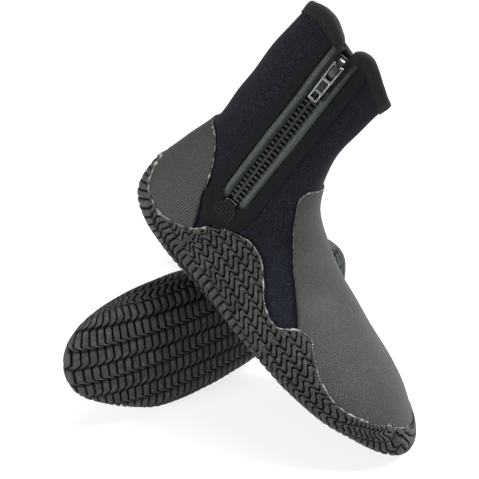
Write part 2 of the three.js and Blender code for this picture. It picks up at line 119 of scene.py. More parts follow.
# Lines on the boot in side view, [x, z]
bottom_line = [[-20, 26], [2, 15.7], [38, 6], [84, 4.8], [130, 4], [176, 3.5], [214, 6], [242, 10.7],
               [262, 15.2], [275, 19.3], [310, 31]]
inner_sole_line = [[-14, 56], [-5, 50], [3.4, 34], [23, 28], [40, 33], [50, 39], [58, 49.5], [69, 57.5],
                   [83, 62], [98, 59], [109, 51.5], [120, 42], [133, 35], [144, 34.8], [154, 43], [164, 46],
                   [175, 40.5], [190, 32.5], [212, 28], [236, 32], [258, 38.5], [285, 41]]
outer_sole_line = [[-14, 56], [-5, 50], [3.4, 34], [25, 29], [55, 31], [85, 38], [112, 36], [138, 31],
                   [165, 37], [190, 32], [215, 28.5], [238, 32], [258, 38.5], [285, 41]]
heel_line = [[-14, 102.5], [-2, 101], [13.4, 98.5], [20, 94.5], [28, 85.5], [34.7, 73.2], [40.7, 59.8],
             [49.2, 43], [58, 22], [64, 0]]
vamp_line = [[104, 122], [90, 116.5], [87.5, 110], [88.7, 105.5], [94.2, 97], [103, 86], [119.3, 70.5],
             [137, 57], [153, 45.5], [170, 30], [182, 0]]


# ---------------------------------------------------------------- small vector tools
def unit(v):
    """Vectors scaled to length 1."""
    return v / np.maximum(np.linalg.norm(v, axis=-1, keepdims=True), 1e-12)


def eased(rows, index):
    """Rows of a table at fractional places, eased through them with a Catmull-Rom spline."""
    rows = np.asarray(rows, float)
    index = np.asarray(index, float)
    first = np.clip(np.floor(index).astype(int), 0, len(rows) - 2)
    f = (index - first)[:, None]
    a, b, c, d = (rows[np.clip(first + k, 0, len(rows) - 1)] for k in (-1, 0, 1, 2))
    return 0.5 * (2 * b + (c - a) * f + (2 * a - 5 * b + 4 * c - d) * f ** 2
                  + (3 * b - a - 3 * c + d) * f ** 3)


def smooth_line(points, per_step=8):
    """A line eased through a few points, with per_step short pieces between each two."""
    return eased(points, np.linspace(0, len(points) - 1, (len(points) - 1) * per_step + 1))


def height_of(line, x):
    """The height of a line in side view at x."""
    return np.interp(x, line[:, 0], line[:, 1])


def side_of_line(points, line):
    """Signed distance in side view from a smooth line: positive on the left of its direction."""
    flat = points[:, [0, 2]]
    best = np.full(len(flat), 1e9)
    side = np.zeros(len(flat))
    for start, end in zip(line[:-1], line[1:]):
        run = end - start
        share = np.clip(((flat - start) @ run) / (run @ run), 0, 1)
        off = flat - start - share[:, None] * run
        distance = np.hypot(off[:, 0], off[:, 1])
        nearer = distance < best - 1e-9
        best = np.where(nearer, distance, best)
        turn = run[0] * (flat[:, 1] - start[1]) - run[1] * (flat[:, 0] - start[0])
        side = np.where(nearer, np.sign(turn), side)
    return best * side


def ripple(points, scale, seed):
    """A soft, repeatable unevenness between about -1 and 1, from a few crossed waves."""
    rng = np.random.default_rng(seed)
    waves = 7
    total = np.zeros(points.shape[:-1])
    for _ in range(waves):
        direction = unit(rng.normal(size=3))
        length = scale * rng.uniform(0.7, 1.5)
        total += np.sin(points @ direction * 2 * math.pi / length + rng.uniform(0, 6.3))
    return total / (waves / 2)


# ---------------------------------------------------------------- the skin of the boot
# How much the loose foam of the shaft waves in and out, how long its waves are, and the heights between
# which that grows from nothing to full
slack = 0.75
slack_wave = 42
slack_seed = 12
slack_from, slack_full = 55, 85
mean_half_width = 35

# One more section above the rim, as wide as the rim, so that the rim's edge can be cut from the sheet
room_above_rim = (sections[0] - sections[1]) * 0.5
inner_width, outer_width, lean_column = 4, 5, 10
room_above_rim[[inner_width, outer_width, lean_column]] = 0
table = np.vstack([sections[0] + room_above_rim, sections])
rim_row = 1.0
steps_per_section = 22
turns = 232


def skin_points(index, turn):
    """Points of the outer skin: one ring of turns for each place along the table."""
    fx, fz, bx, bz, inner, outer, widest, upper, lower, shift, lean = (
        column[:, None] for column in eased(table, index).T)
    c, s = np.cos(turn)[None], np.sin(turn)[None]
    power = np.where(c >= 0, upper, lower)
    along, across = np.abs(c) ** (2 / power), np.abs(s) ** (2 / power)
    share = np.where(c >= 0, widest * (1 - along), widest + (1 - widest) * along)
    y = shift + np.where(s >= 0, outer, -inner) * across
    x = fx + (bx - fx) * share
    z = fz + (bz - fz) * share - rim_tilt * lean * y
    loose = np.clip((z - slack_from) / (slack_full - slack_from), 0, 1)
    waves = ripple(np.stack([x, y, z], axis=-1), slack_wave, slack_seed)
    swell = 1 + slack * loose * waves / mean_half_width
    middle = (fx + bx) / 2
    return np.stack([middle + (x - middle) * swell, y * swell, z], axis=-1)


def grid_normals(points, closed):
    """Outward normals of a gridded surface whose rows run along and whose columns run round."""
    along = np.gradient(points, axis=0)
    if closed:
        around = np.roll(points, -1, axis=1) - np.roll(points, 1, axis=1)
    else:
        around = np.gradient(points, axis=1)
    return unit(np.cross(along, around))


def grid_quads(rows, columns, closed):
    """The four-cornered faces of a grid; a closed one joins its last column to its first."""
    i, j = np.meshgrid(np.arange(rows - 1), np.arange(columns if closed else columns - 1), indexing="ij")
    a, b = i * columns + j, i * columns + (j + 1) % columns
    return np.stack([a, b, b + columns, a + columns], axis=-1).reshape(-1, 4)


def triangles_of(quads):
    """Each four-cornered face as two triangles."""
    return np.vstack([quads[:, [0, 1, 2]], quads[:, [0, 2, 3]]])


class Skin:
    """The dense skin, its normals and the weave directions that run with it."""

    def __init__(self):
        rows = (len(table) - 1) * steps_per_section + 1
        self.index = np.linspace(0, len(table) - 1, rows)
        self.turn = np.linspace(0, 2 * math.pi, turns, endpoint=False)
        self.points = skin_points(self.index, self.turn)
        normals = grid_normals(self.points, closed=True)
        facing_out = np.sign(normals[rows // 4, 0, 0])
        self.normals = normals * facing_out
        self.normals[-2:] = unit(self.normals[-3:-2].mean(axis=1, keepdims=True) + [2, 0, 0])
        self.quads = grid_quads(rows, turns, closed=True)
        if facing_out < 0:
            self.quads = self.quads[:, ::-1]
        round_steps = np.linalg.norm(np.roll(self.points, -1, axis=1) - self.points, axis=-1)
        arcs = np.cumsum(round_steps, axis=1) - round_steps
        total = round_steps.sum(axis=1, keepdims=True)
        arcs = np.where(arcs > total / 2, arcs - total, arcs)
        along = np.linalg.norm(np.diff(self.points, axis=0), axis=-1)
        length = np.vstack([np.zeros(turns), np.cumsum(along, axis=0)])
        self.weave = np.stack([arcs, length, np.zeros_like(arcs)], axis=-1)
        self.flat_points = self.points.reshape(-1, 3)
        self.flat_normals = self.normals.reshape(-1, 3)
        self.tree = BVHTree.FromPolygons(self.flat_points.tolist(), self.quads.tolist())

    def sheet(self):
        """Columns: point, normal, weave; and the triangles between them."""
        data = np.hstack([self.flat_points, self.flat_normals, self.weave.reshape(-1, 3)])
        return data, triangles_of(self.quads)

    def cast(self, origins, directions):
        """Where rays meet the skin, with its smooth normal there."""
        hits, found = [], []
        for origin, direction in zip(origins.tolist(), directions.tolist()):
            place, _, face, _ = self.tree.ray_cast(origin, direction)
            hits.append(place if place is not None else origin)
            found.append(face if place is not None else -1)
        hits, found = np.array(hits), np.array(found)
        corners = self.quads[found]
        away = np.linalg.norm(self.flat_points[corners] - hits[:, None], axis=-1)
        near = 1 / (away + 1e-3) ** 2
        normals = unit((self.flat_normals[corners] * near[..., None]).sum(axis=1))
        return hits, normals, found >= 0


skin = Skin()

# ---------------------------------------------------------------- the zip's own frame
zip_top = np.array([42, -24.2, 203])
zip_foot = np.array([57, -35.4, 66])
zip_turn = 0.06
zip_up = unit(zip_top - zip_foot)
zip_out = unit(np.array([0, -1.0, 0]) + zip_up * zip_up[1])
zip_out = zip_out * math.cos(zip_turn) + np.cross(zip_up, zip_out) * math.sin(zip_turn)
zip_forward = unit(np.cross(zip_up, zip_out))
zip_axes = np.array([zip_forward, zip_up, zip_out])


def in_zip(points):
    """Points of the boot's frame in the zip's own: X forward, Y up the chain, Z out of the boot."""
    return (points - zip_top) @ zip_axes.T


def from_zip(points):
    """Points of the zip's frame in the boot's frame."""
    return np.asarray(points, float) @ zip_axes + zip_top


def boot_place(side):
    """The rotation and shift that carry the boot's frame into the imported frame, from its zip joints."""
    joints = {joint["name"]: joint for joint in frame["joints"]}
    down = np.array(joints[f"{side}_zip_slide"]["axis"])
    swing = np.array(joints[f"{side}_pull_swing"]["axis"])
    pivot = np.array(joints[f"{side}_pull_swing"]["pos_m"]) * 1000
    hand = 1 if side == "left" else -1
    forward, up = -hand * swing, -down
    out = hand * np.cross(forward, up)
    placed = np.stack([forward, up, out], axis=1)
    rotation = placed @ zip_axes
    shift = pivot - rotation @ from_zip(pull_pivot)
    return rotation, shift


places = {side: boot_place(side) for side in sides}

# ---------------------------------------------------------------- fields: positive inside a region
inner_sole = smooth_line(inner_sole_line)
outer_sole = smooth_line(outer_sole_line)
bottom = smooth_line(bottom_line)
heel_edge = smooth_line(heel_line)
vamp_edge = smooth_line(vamp_line)


def above_sole(points):
    """Above the outsole's upper edge, which differs on the two sides of the boot."""
    inner, outer = side_of_line(points, inner_sole), side_of_line(points, outer_sole)
    blend = np.clip(points[:, 1] / 8 + 0.5, 0, 1)
    return inner * (1 - blend) + outer * blend


# The rim isn't level: on the zip side it swells behind and before the notch, and it dips at the shin;
# [x, rise]
rim_shape = smooth_line([[-20, 0], [0, 3.4], [10, 5.4], [20, 4.6], [30, 1], [41, -2], [48, 2], [56, 3.4],
                         [64, 1], [74, -3.6], [86, -8], [100, -9]])
outer_rim_shape = smooth_line([[-20, 2], [10, 4], [40, 0.5], [70, -4.5], [100, -8.5]])


def below_rim(points, height=0):
    """Below the rim, or below a line that follows the rim height above it."""
    zip_side = np.clip(0.3 - points[:, 1] / 20, 0, 1)
    rise = (height_of(rim_shape, points[:, 0]) * zip_side
            + height_of(outer_rim_shape, points[:, 0]) * (1 - zip_side))
    return shaft_height + height - rim_tilt * points[:, 1] + rise - points[:, 2]


# The regions round the zip reach this far behind its plane, so they leave the boot's outer side alone
zip_region_depth = 32
notch_foot = -0.2
notch_slot_half = 4.2


def in_tongue(points, half, foot):
    """Inside a tongue round the zip: open at the top and round at its foot."""
    x, y, z = in_zip(points).T
    middle = foot + half
    inside = np.where(y > middle, half - np.abs(x), half - np.hypot(x, y - middle))
    return np.minimum(inside, z + zip_region_depth)


def outside_slot(points, half, foot):
    """Outside the slot of the zip, which narrows to a notch above the zip's upper end."""
    x, y, z = in_zip(points).T
    wide = np.maximum(np.abs(x) - half, foot - y)
    collar_end = np.minimum(np.abs(x) - notch_slot_half, y - notch_foot)
    return np.maximum(np.maximum(wide, collar_end), -zip_region_depth - z)


def forward_of_zip(points):
    """Forward of the line on which the front and rear panels meet, which runs down the zip."""
    slope = (zip_top[0] - zip_foot[0]) / (zip_top[2] - zip_foot[2])
    return points[:, 0] - zip_top[0] - slope * (points[:, 2] - zip_top[2])


# ---------------------------------------------------------------- cutting and thickening a sheet
# A point nearer to the cut than this share of its edge moves onto the cut, which leaves no thin triangles
snap_share = 0.28
edge_turns = (0.6, 1.57)


def cut(data, triangles, field):
    """Keeps the part of a sheet where field is positive, with a clean edge along its zero line."""
    data = data.copy()
    value = field(data[:, :3])
    edges = np.sort(np.vstack([triangles[:, [0, 1]], triangles[:, [1, 2]], triangles[:, [2, 0]]]), axis=1)
    edges = np.unique(edges, axis=0)
    a, b = edges.T
    crossing = value[a] * value[b] < 0
    a, b = a[crossing], b[crossing]
    share = value[a] / (value[a] - value[b])
    moved_data, moved = data.copy(), np.zeros(len(data), bool)
    for vertex, other, part in ((a, b, share), (b, a, 1 - share)):
        near = part < snap_share
        moved_data[vertex[near]] = (data[vertex[near]] * (1 - part[near, None])
                                    + data[other[near]] * part[near, None])
        moved[vertex[near]] = True
    data = moved_data
    value = np.where(moved, 0, value)
    signs = np.sign(value[triangles]).astype(int)
    whole = (signs.min(axis=1) >= 0) & (signs.max(axis=1) > 0)
    mixed = (signs.min(axis=1) < 0) & (signs.max(axis=1) > 0)
    kept = [triangles[whole]]
    extra, lookup, pieces = [], {}, []

    def middle(p, q):
        key = (min(p, q), max(p, q))
        if key not in lookup:
            part = value[p] / (value[p] - value[q])
            lookup[key] = len(data) + len(extra)
            extra.append(data[p] * (1 - part) + data[q] * part)
        return lookup[key]

    for corner, sign in zip(triangles[mixed].tolist(), signs[mixed].tolist()):
        ring = []
        for k in range(3):
            p, q = corner[k], corner[(k + 1) % 3]
            if sign[k] >= 0:
                ring.append(p)
            if sign[k] * sign[(k + 1) % 3] < 0:
                ring.append(middle(p, q))
        pieces += [[ring[0], ring[k], ring[k + 1]] for k in range(1, len(ring) - 1)]
    if pieces:
        kept.append(np.array(pieces))
        if extra:
            data = np.vstack([data, np.array(extra)])
    return tidy(data, np.vstack(kept))


def tidy(data, triangles):
    """Drops unused points and triangles that use a point twice."""
    sound = ((triangles[:, 0] != triangles[:, 1]) & (triangles[:, 1] != triangles[:, 2])
             & (triangles[:, 2] != triangles[:, 0]))
    triangles = triangles[sound]
    used, renamed = np.unique(triangles, return_inverse=True)
    return data[used], renamed.reshape(-1, 3)


def border(triangles):
    """The directed edges that belong to one triangle only."""
    directed = np.vstack([triangles[:, [0, 1]], triangles[:, [1, 2]], triangles[:, [2, 0]]])
    twin = {(p, q) for p, q in directed.tolist()}
    return np.array([(p, q) for p, q in directed.tolist() if (q, p) not in twin])


def chains(edges):
    """Border edges joined into closed runs of points."""
    after = {}
    for p, q in edges.tolist():
        after.setdefault(p, []).append(q)
    runs = []
    while after:
        start = next(iter(after))
        run, here = [start], start
        while True:
            options = after[here]
            there = options.pop()
            if not options:
                del after[here]
            if there == start or there not in after:
                break
            run.append(there)
            here = there
        runs.append(run)
    return runs


def thicken(data, triangles, outer, inner, edge, puff=None):
    """A closed layer between two offsets from the skin; its rim swells out by edge and is rounded over.

    Each offset is a number or one number for each point, and puff adds to the outer face only.
    """
    points, normals, weave = data[:, :3], data[:, 3:6], data[:, 6:9]
    outer = np.broadcast_to(np.asarray(outer, float), (len(data),)).copy()
    inner = np.broadcast_to(np.asarray(inner, float), (len(data),)).copy()
    if puff is not None:
        outer = outer + puff
    rim = border(triangles)
    outward = np.zeros_like(points)
    across = np.cross(points[rim[:, 1]] - points[rim[:, 0]], normals[rim[:, 0]])
    np.add.at(outward, rim[:, 0], unit(across))
    np.add.at(outward, rim[:, 1], unit(across))
    outward = unit(outward)
    faces = [triangles, triangles[:, ::-1] + len(data)]
    vertices = [points + normals * outer[:, None], points + normals * inner[:, None]]
    weaves = [weave, weave]
    on_rim = np.unique(rim)
    place = np.full(len(data), -1)
    place[on_rim] = np.arange(len(on_rim))
    previous = on_rim
    start = 2 * len(data)
    steps = [(outer - edge * (1 - math.cos(angle)), edge * math.sin(angle)) for angle in edge_turns]
    steps.append((inner + 0.25 * edge, edge))
    for height, reach in steps:
        vertices.append(points[on_rim] + normals[on_rim] * height[on_rim, None] + outward[on_rim] * reach)
        weaves.append(weave[on_rim])
        ring = start + np.arange(len(on_rim))
        faces.append(strip(previous[place[rim]], ring[place[rim]]))
        previous, start = ring, start + len(on_rim)
    faces.append(strip(previous[place[rim]], (on_rim + len(data))[place[rim]]))
    return np.vstack(vertices), np.vstack(faces), np.vstack(weaves)


def strip(near, far):
    """Triangles between two rows of matching edges; near is the row on the face that the strip leaves."""
    return np.vstack([np.stack([near[:, 1], near[:, 0], far[:, 0]], axis=1),
                      np.stack([near[:, 1], far[:, 0], far[:, 1]], axis=1)])


def oriented(vertices, faces):
    """The faces, turned the other way if the closed shape they make is inside out."""
    volume = 0.0
    for face in faces:
        a = vertices[face[0]]
        for k in range(1, len(face) - 1):
            volume += np.dot(a, np.cross(vertices[face[k]], vertices[face[k + 1]]))
    return faces if volume > 0 else [list(face)[::-1] for face in faces]


def tube(rings):
    """The points and faces of a closed tube through rings of points, with a flat cap at each end."""
    count, around = rings.shape[:2]
    vertices = rings.reshape(-1, 3)
    last = (count - 1) * around
    faces = grid_quads(count, around, closed=True).tolist()
    faces += [list(range(around)), [last + k for k in range(around)][::-1]]
    return vertices, oriented(vertices, faces)


# ---------------------------------------------------------------- putting a shape into the scene
def mesh_of(name, vertices, faces, weave=None, material=None):
    """A smooth mesh object; weave gives each point its place in the cloth's pattern."""
    mesh = bpy.data.meshes.new(name)
    mesh.from_pydata(np.asarray(vertices).tolist(), [], [list(face) for face in faces])
    mesh.shade_smooth()
    if weave is not None:
        mesh.attributes.new("weave", "FLOAT_VECTOR", "POINT").data.foreach_set("vector", np.ravel(weave))
    if material is not None:
        mesh.materials.append(material)
    piece = bpy.data.objects.new(name, mesh)
    bpy.context.scene.collection.objects.link(piece)
    return piece


def placed(side, vertices, faces):
    """A shape of the boot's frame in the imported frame, in metres, mirrored for the right boot."""
    rotation, shift = places[side]
    vertices = (np.asarray(vertices) @ rotation.T + shift) / 1000
    if side == "right":
        faces = [list(face)[::-1] for face in faces]
    return vertices, faces


def fit_piece(piece, side, nodes=(), body="boot"):
    """Says which body carries the piece and which nodes it stands for."""
    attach(piece, f"{side}_{body}")
    if nodes:
        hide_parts(*[f"{side}_{node}" for node in nodes])
    return piece


def lay(side, name, shape, material, nodes=(), body="boot"):
    """One piece on one boot."""
    vertices, faces, weave = shape
    vertices, faces = placed(side, vertices, faces)
    piece = mesh_of(f"{side}_{name}", vertices, faces, weave, material)
    return fit_piece(piece, side, nodes, body)


def both(name, shape, material, nodes=(), body="boot"):
    """The same piece on each boot."""
    return [lay(side, name, shape, material, nodes, body) for side in sides]


# ---------------------------------------------------------------- finishes
class Finish:
    """A material whose node tree is written as short calls."""

    def __init__(self, name, color, roughness, metallic=0.0, **sockets):
        self.material = bpy.data.materials.new(name)
        self.material.use_nodes = True
        self.tree = self.material.node_tree
        self.shader = self.tree.nodes["Principled BSDF"]
        self.set(self.shader, **{"Base Color": (*color, 1), "Roughness": roughness, "Metallic": metallic})
        for socket, value in sockets.items():
            self.shader.inputs[socket.replace("_", " ")].default_value = value

    def set(self, node, **inputs):
        """Gives a node's inputs a value or a link; i0, i1 and so on name an input by its place."""
        for name, value in inputs.items():
            by_place = name[0] == "i" and name[1:].isdigit()
            socket = node.inputs[int(name[1:]) if by_place else name]
            if isinstance(value, bpy.types.NodeSocket):
                self.tree.links.new(value, socket)
            else:
                socket.default_value = value
        return node

    def add(self, kind, properties=(), **inputs):
        """A new node with its properties and inputs set."""
        node = self.tree.nodes.new(kind)
        for name, value in dict(properties).items():
            setattr(node, name, value)
        return self.set(node, **inputs)

    def math(self, operation, first, second=0.0, third=0.0):
        """The result of one sum."""
        node = self.add("ShaderNodeMath", {"operation": operation}, i0=first, i1=second, i2=third)
        return node.outputs[0]

    def weave_parts(self):
        """The piece's own pattern places: across, along, and the outsole's groove depth, which paints shade
        into its grooves.
        """
        weave = self.add("ShaderNodeAttribute", {"attribute_name": "weave"}).outputs["Vector"]
        return self.add("ShaderNodeSeparateXYZ", i0=weave).outputs

    def place(self):
        """The place on the piece, in metres."""
        return self.add("ShaderNodeTexCoord").outputs["Object"]

    def noise(self, size, detail=2.0, roughness=0.55, vector=None):
        """Mottling whose patches are about size metres across."""
        node = self.add("ShaderNodeTexNoise", Scale=1 / size, Detail=detail, Roughness=roughness)
        self.tree.links.new(vector or self.place(), node.inputs["Vector"])
        return node.outputs["Fac"]

    def spread(self, value, low, high, to_low=0.0, to_high=1.0):
        """The value's range from low to high spread over another range."""
        return self.add("ShaderNodeMapRange", **{"Value": value, "From Min": low, "From Max": high,
                                                 "To Min": to_low, "To Max": to_high}).outputs["Result"]

    def wave(self, value, period, sharp=1.0):
        """A rounded rib pattern from 0 to 1 with the given period."""
        turn = self.math("MULTIPLY", value, 2 * math.pi / period)
        crest = self.math("MULTIPLY_ADD", self.math("SINE", turn), 0.5, 0.5)
        return self.math("POWER", crest, sharp)

    def blend(self, factor, first, second):
        """A colour between two, each a colour or another blend."""
        node = self.add("ShaderNodeMix", {"data_type": "RGBA"}, Factor=factor)
        sockets = [socket for socket in node.inputs if socket.type == "RGBA"]
        for socket, value in zip(sockets, (first, second)):
            if isinstance(value, bpy.types.NodeSocket):
                self.tree.links.new(value, socket)
            else:
                socket.default_value = (*value, 1)
        return [socket for socket in node.outputs if socket.type == "RGBA"][0]

    def color(self, value):
        """Colours the surface."""
        self.tree.links.new(value, self.shader.inputs["Base Color"])

    def roughness(self, value):
        """Makes the surface rougher or glossier from place to place."""
        self.tree.links.new(value, self.shader.inputs["Roughness"])

    def relief(self, *heights):
        """Fine relief: each height is (value, depth in metres), and the depths add up."""
        total = None
        for value, depth in heights:
            part = self.math("MULTIPLY", value, depth)
            total = part if total is None else self.math("ADD", total, part)
        bump = self.add("ShaderNodeBump", Height=total, Distance=1.0, Strength=1.0)
        self.tree.links.new(bump.outputs["Normal"], self.shader.inputs["Normal"])


# Periods of the woven patterns, in millimetres
knit_wale, knit_course = 0.62, 0.5
twill_rib, twill_thread = 2.1, 1.5
tape_rib, tape_thread = 1.7, 0.55
stitch_twist = 0.5


def jersey_finish():
    """Navy nylon jersey over foam: a fine knit grain, faint heather and soft sheen."""
    cloth = Finish("navy_jersey", (0.008, 0.009, 0.018), 0.9, Sheen_Weight=0.04, Sheen_Roughness=0.5,
                   Specular_IOR_Level=0.08)
    cloth.shader.inputs["Sheen Tint"].default_value = (0.8, 0.8, 0.9, 1)
    across, along, _ = cloth.weave_parts()
    knit = cloth.math("MULTIPLY", cloth.wave(across, knit_wale), cloth.wave(along, knit_course))
    speckle, cloudy, lint = cloth.noise(0.0011, 2, 0.7), cloth.noise(0.03, 3), cloth.noise(0.0021, 1, 0.6)
    shade = cloth.blend(cloth.spread(speckle, 0.38, 0.66), (0.001, 0.0014, 0.0032), (0.0115, 0.0135, 0.0195))
    shade = cloth.blend(cloth.spread(cloudy, 0.42, 0.7, 0.0, 0.4), shade, (0.0085, 0.0102, 0.0135))
    cloth.color(cloth.blend(cloth.spread(lint, 0.6, 0.75, 0.0, 0.4), shade, (0.03, 0.034, 0.045)))
    cloth.roughness(cloth.spread(speckle, 0.3, 0.7, 0.78, 0.95))
    cloth.relief((knit, 0.00006), (speckle, 0.0002), (cloudy, 0.0012))
    return cloth.material


def lining_finish():
    """Plain black jersey inside the boot."""
    cloth = Finish("black_lining", (0.012, 0.012, 0.013), 0.92, Sheen_Weight=0.15)
    speckle = cloth.noise(0.0009, 2, 0.7)
    cloth.color(cloth.blend(cloth.spread(speckle, 0.35, 0.7), (0.007, 0.007, 0.008), (0.024, 0.024, 0.026)))
    cloth.relief((speckle, 0.00018))
    return cloth.material


def twill_finish():
    """Grey-green rubberised twill: diagonal ribs crossed by a finer thread, mottled in scuffed patches, with
    painted shade in the ribs' troughs and a painted highlight on their crests.
    """
    twill = Finish("rubber_twill", (0.05, 0.054, 0.047), 0.62, Specular_IOR_Level=0.2)
    across, along, _ = twill.weave_parts()
    diagonal = twill.math("MULTIPLY_ADD", along, 0.9, across)
    cross = twill.math("MULTIPLY_ADD", across, -0.55, along)
    rib, thread = twill.wave(diagonal, twill_rib, 0.8), twill.wave(cross, twill_thread)
    scuff, speckle = twill.noise(0.022, 4), twill.noise(0.0012, 2, 0.7)
    # Painted shade and highlight: low is the dark colour of the ribs' troughs, high the light colour of
    # their crests; each is mottled at random
    low = twill.blend(twill.spread(scuff, 0.35, 0.7), (0.007, 0.0088, 0.008), (0.0155, 0.0175, 0.0157))
    high = twill.blend(twill.spread(speckle, 0.35, 0.7), (0.028, 0.0318, 0.028), (0.066, 0.071, 0.062))
    twill.color(twill.blend(rib, low, high))
    twill.roughness(twill.spread(scuff, 0.3, 0.7, 0.5, 0.66))
    twill.relief((rib, 0.00014), (thread, 0.00005), (speckle, 0.0001), (scuff, 0.0008))
    return twill.material


def sole_finish():
    """Dark grey-green moulded rubber, dusty and slightly pitted, with painted shade that turns its grooves
    black.
    """
    rubber = Finish("moulded_rubber", (0.03, 0.034, 0.03), 0.6, Specular_IOR_Level=0.14)
    _, _, groove = rubber.weave_parts()
    dust, pits, patch = rubber.noise(0.012, 4), rubber.noise(0.0009, 2, 0.7), rubber.noise(0.004, 3)
    base = rubber.blend(rubber.spread(dust, 0.35, 0.7), (0.013, 0.0155, 0.014), (0.034, 0.038, 0.034))
    base = rubber.blend(rubber.spread(patch, 0.5, 0.72, 0.0, 0.6), base, (0.07, 0.077, 0.068))
    base = rubber.blend(rubber.spread(pits, 0.5, 0.7, 0.0, 0.6), base, (0.11, 0.118, 0.105))
    # Painted shade: the deeper the groove, the nearer its colour goes to black
    rubber.color(rubber.blend(rubber.spread(groove, 0.06, 0.55), base, (0.001, 0.001, 0.001)))
    rubber.roughness(rubber.spread(dust, 0.3, 0.7, 0.45, 0.68))
    rubber.relief((pits, 0.0004), (patch, 0.0008))
    return rubber.material


def tape_finish(name, dark, light, roughness, rib=tape_rib):
    """A narrow woven tape with ribs across it and fine threads along it."""
    tape = Finish(name, light, roughness, Sheen_Weight=0.03, Specular_IOR_Level=0.16)
    across, along, _ = tape.weave_parts()
    ribs, threads = tape.wave(along, rib), tape.wave(across, tape_thread)
    lint = tape.noise(0.0009, 2, 0.7)
    cloth = tape.blend(tape.math("MULTIPLY", ribs, threads), dark, light)
    tape.color(tape.blend(tape.spread(lint, 0.5, 0.75, 0.0, 0.5), cloth, tuple(2 * c for c in light)))
    tape.relief((ribs, 0.00009), (threads, 0.00006), (lint, 0.0001))
    return tape.material


def mesh_patch_finish():
    """The round patch's open black mesh weave."""
    cloth = Finish("patch_mesh", (0.01, 0.01, 0.01), 0.6, Specular_IOR_Level=0.12)
    across, along, _ = cloth.weave_parts()
    over, under = cloth.wave(across, patch_weave, 2.0), cloth.wave(along, patch_weave, 2.0)
    weave = cloth.math("MAXIMUM", over, under)
    cloth.color(cloth.blend(cloth.spread(weave, 0.35, 0.9), (0.0005, 0.0005, 0.0005), (0.009, 0.01, 0.0095)))
    cloth.relief((weave, 0.0003), (cloth.noise(0.0008), 0.0001))
    return cloth.material


def plastic_finish():
    """Glossy black moulded teeth, with slight flow marks."""
    plastic = Finish("black_acetal", (0.012, 0.012, 0.013), 0.22, Specular_IOR_Level=0.8)
    marks = plastic.noise(0.0012, 3)
    dark, light = (0.006, 0.006, 0.007), (0.024, 0.026, 0.027)
    plastic.color(plastic.blend(plastic.spread(marks, 0.4, 0.7), dark, light))
    plastic.roughness(plastic.spread(marks, 0.3, 0.7, 0.12, 0.28))
    plastic.relief((marks, 0.00005))
    return plastic.material


def metal_finish(name, dark, bright):
    """Plated casting, rubbed brighter in patches."""
    metal = Finish(name, dark, 0.3, 0.85)
    rubbed, grain = metal.noise(0.006, 3), metal.noise(0.0004, 2, 0.7)
    metal.color(metal.blend(metal.spread(rubbed, 0.45, 0.7), dark, bright))
    metal.roughness(metal.spread(rubbed, 0.3, 0.7, 0.36, 0.24))
    metal.relief((grain, 0.00002), (rubbed, 0.00004))
    return metal.material


def cement_finish():
    """Dried cement squeezed out of the bonded edges: chalky light grey."""
    cement = Finish("dried_cement", (0.2, 0.21, 0.18), 0.85, Specular_IOR_Level=0.2)
    patch = cement.noise(0.0035, 4)
    cement.color(cement.blend(cement.spread(patch, 0.42, 0.62), (0.03, 0.033, 0.03), (0.25, 0.27, 0.23)))
    cement.relief((patch, 0.0006))
    return cement.material


def foam_finish():
    """Black footbed foam with a cloth top."""
    foam = Finish("footbed_cloth", (0.02, 0.02, 0.021), 0.95)
    cells = foam.noise(0.0015, 3)
    foam.color(foam.blend(foam.spread(cells, 0.35, 0.7), (0.012, 0.012, 0.013), (0.035, 0.035, 0.037)))
    foam.relief((cells, 0.0003))
    return foam.material


def smooth_skin_finish():
    """Smooth-skin neoprene of the water flap: nearly bare rubber."""
    flap = Finish("smooth_skin_rubber", (0.012, 0.012, 0.013), 0.42, Specular_IOR_Level=0.4)
    crazing = flap.noise(0.003, 4)
    flap.color(flap.blend(flap.spread(crazing, 0.35, 0.7), (0.008, 0.008, 0.009), (0.02, 0.02, 0.021)))
    flap.roughness(flap.spread(crazing, 0.3, 0.7, 0.35, 0.55))
    flap.relief((crazing, 0.0002))
    return flap.material


navy_jersey = jersey_finish()
black_lining = lining_finish()
rubber_twill = twill_finish()
moulded_rubber = sole_finish()
rim_tape = tape_finish("black_rim_tape", (0.003, 0.003, 0.003), (0.012, 0.0125, 0.012), 0.8)
band_webbing = tape_finish("black_band_webbing", (0.001, 0.0012, 0.002), (0.0045, 0.0052, 0.0065), 0.85)
grey_zip_tape = tape_finish("grey_zip_tape", (0.025, 0.031, 0.03), (0.066, 0.077, 0.075), 0.4)
seam_thread = tape_finish("black_seam_thread", (0.003, 0.003, 0.004), (0.011, 0.011, 0.013), 0.7,
                          stitch_twist)
patch_mesh = mesh_patch_finish()
black_acetal = plastic_finish()
gunmetal_plate = metal_finish("gunmetal_plate", (0.22, 0.23, 0.22), (0.42, 0.44, 0.41))
black_plate = metal_finish("black_slider_plate", (0.012, 0.013, 0.013), (0.04, 0.042, 0.04))
dark_plate = metal_finish("dark_bridge_plate", (0.035, 0.038, 0.038), (0.1, 0.105, 0.1))
dried_cement = cement_finish()
footbed_cloth = foam_finish()
smooth_skin_rubber = smooth_skin_finish()


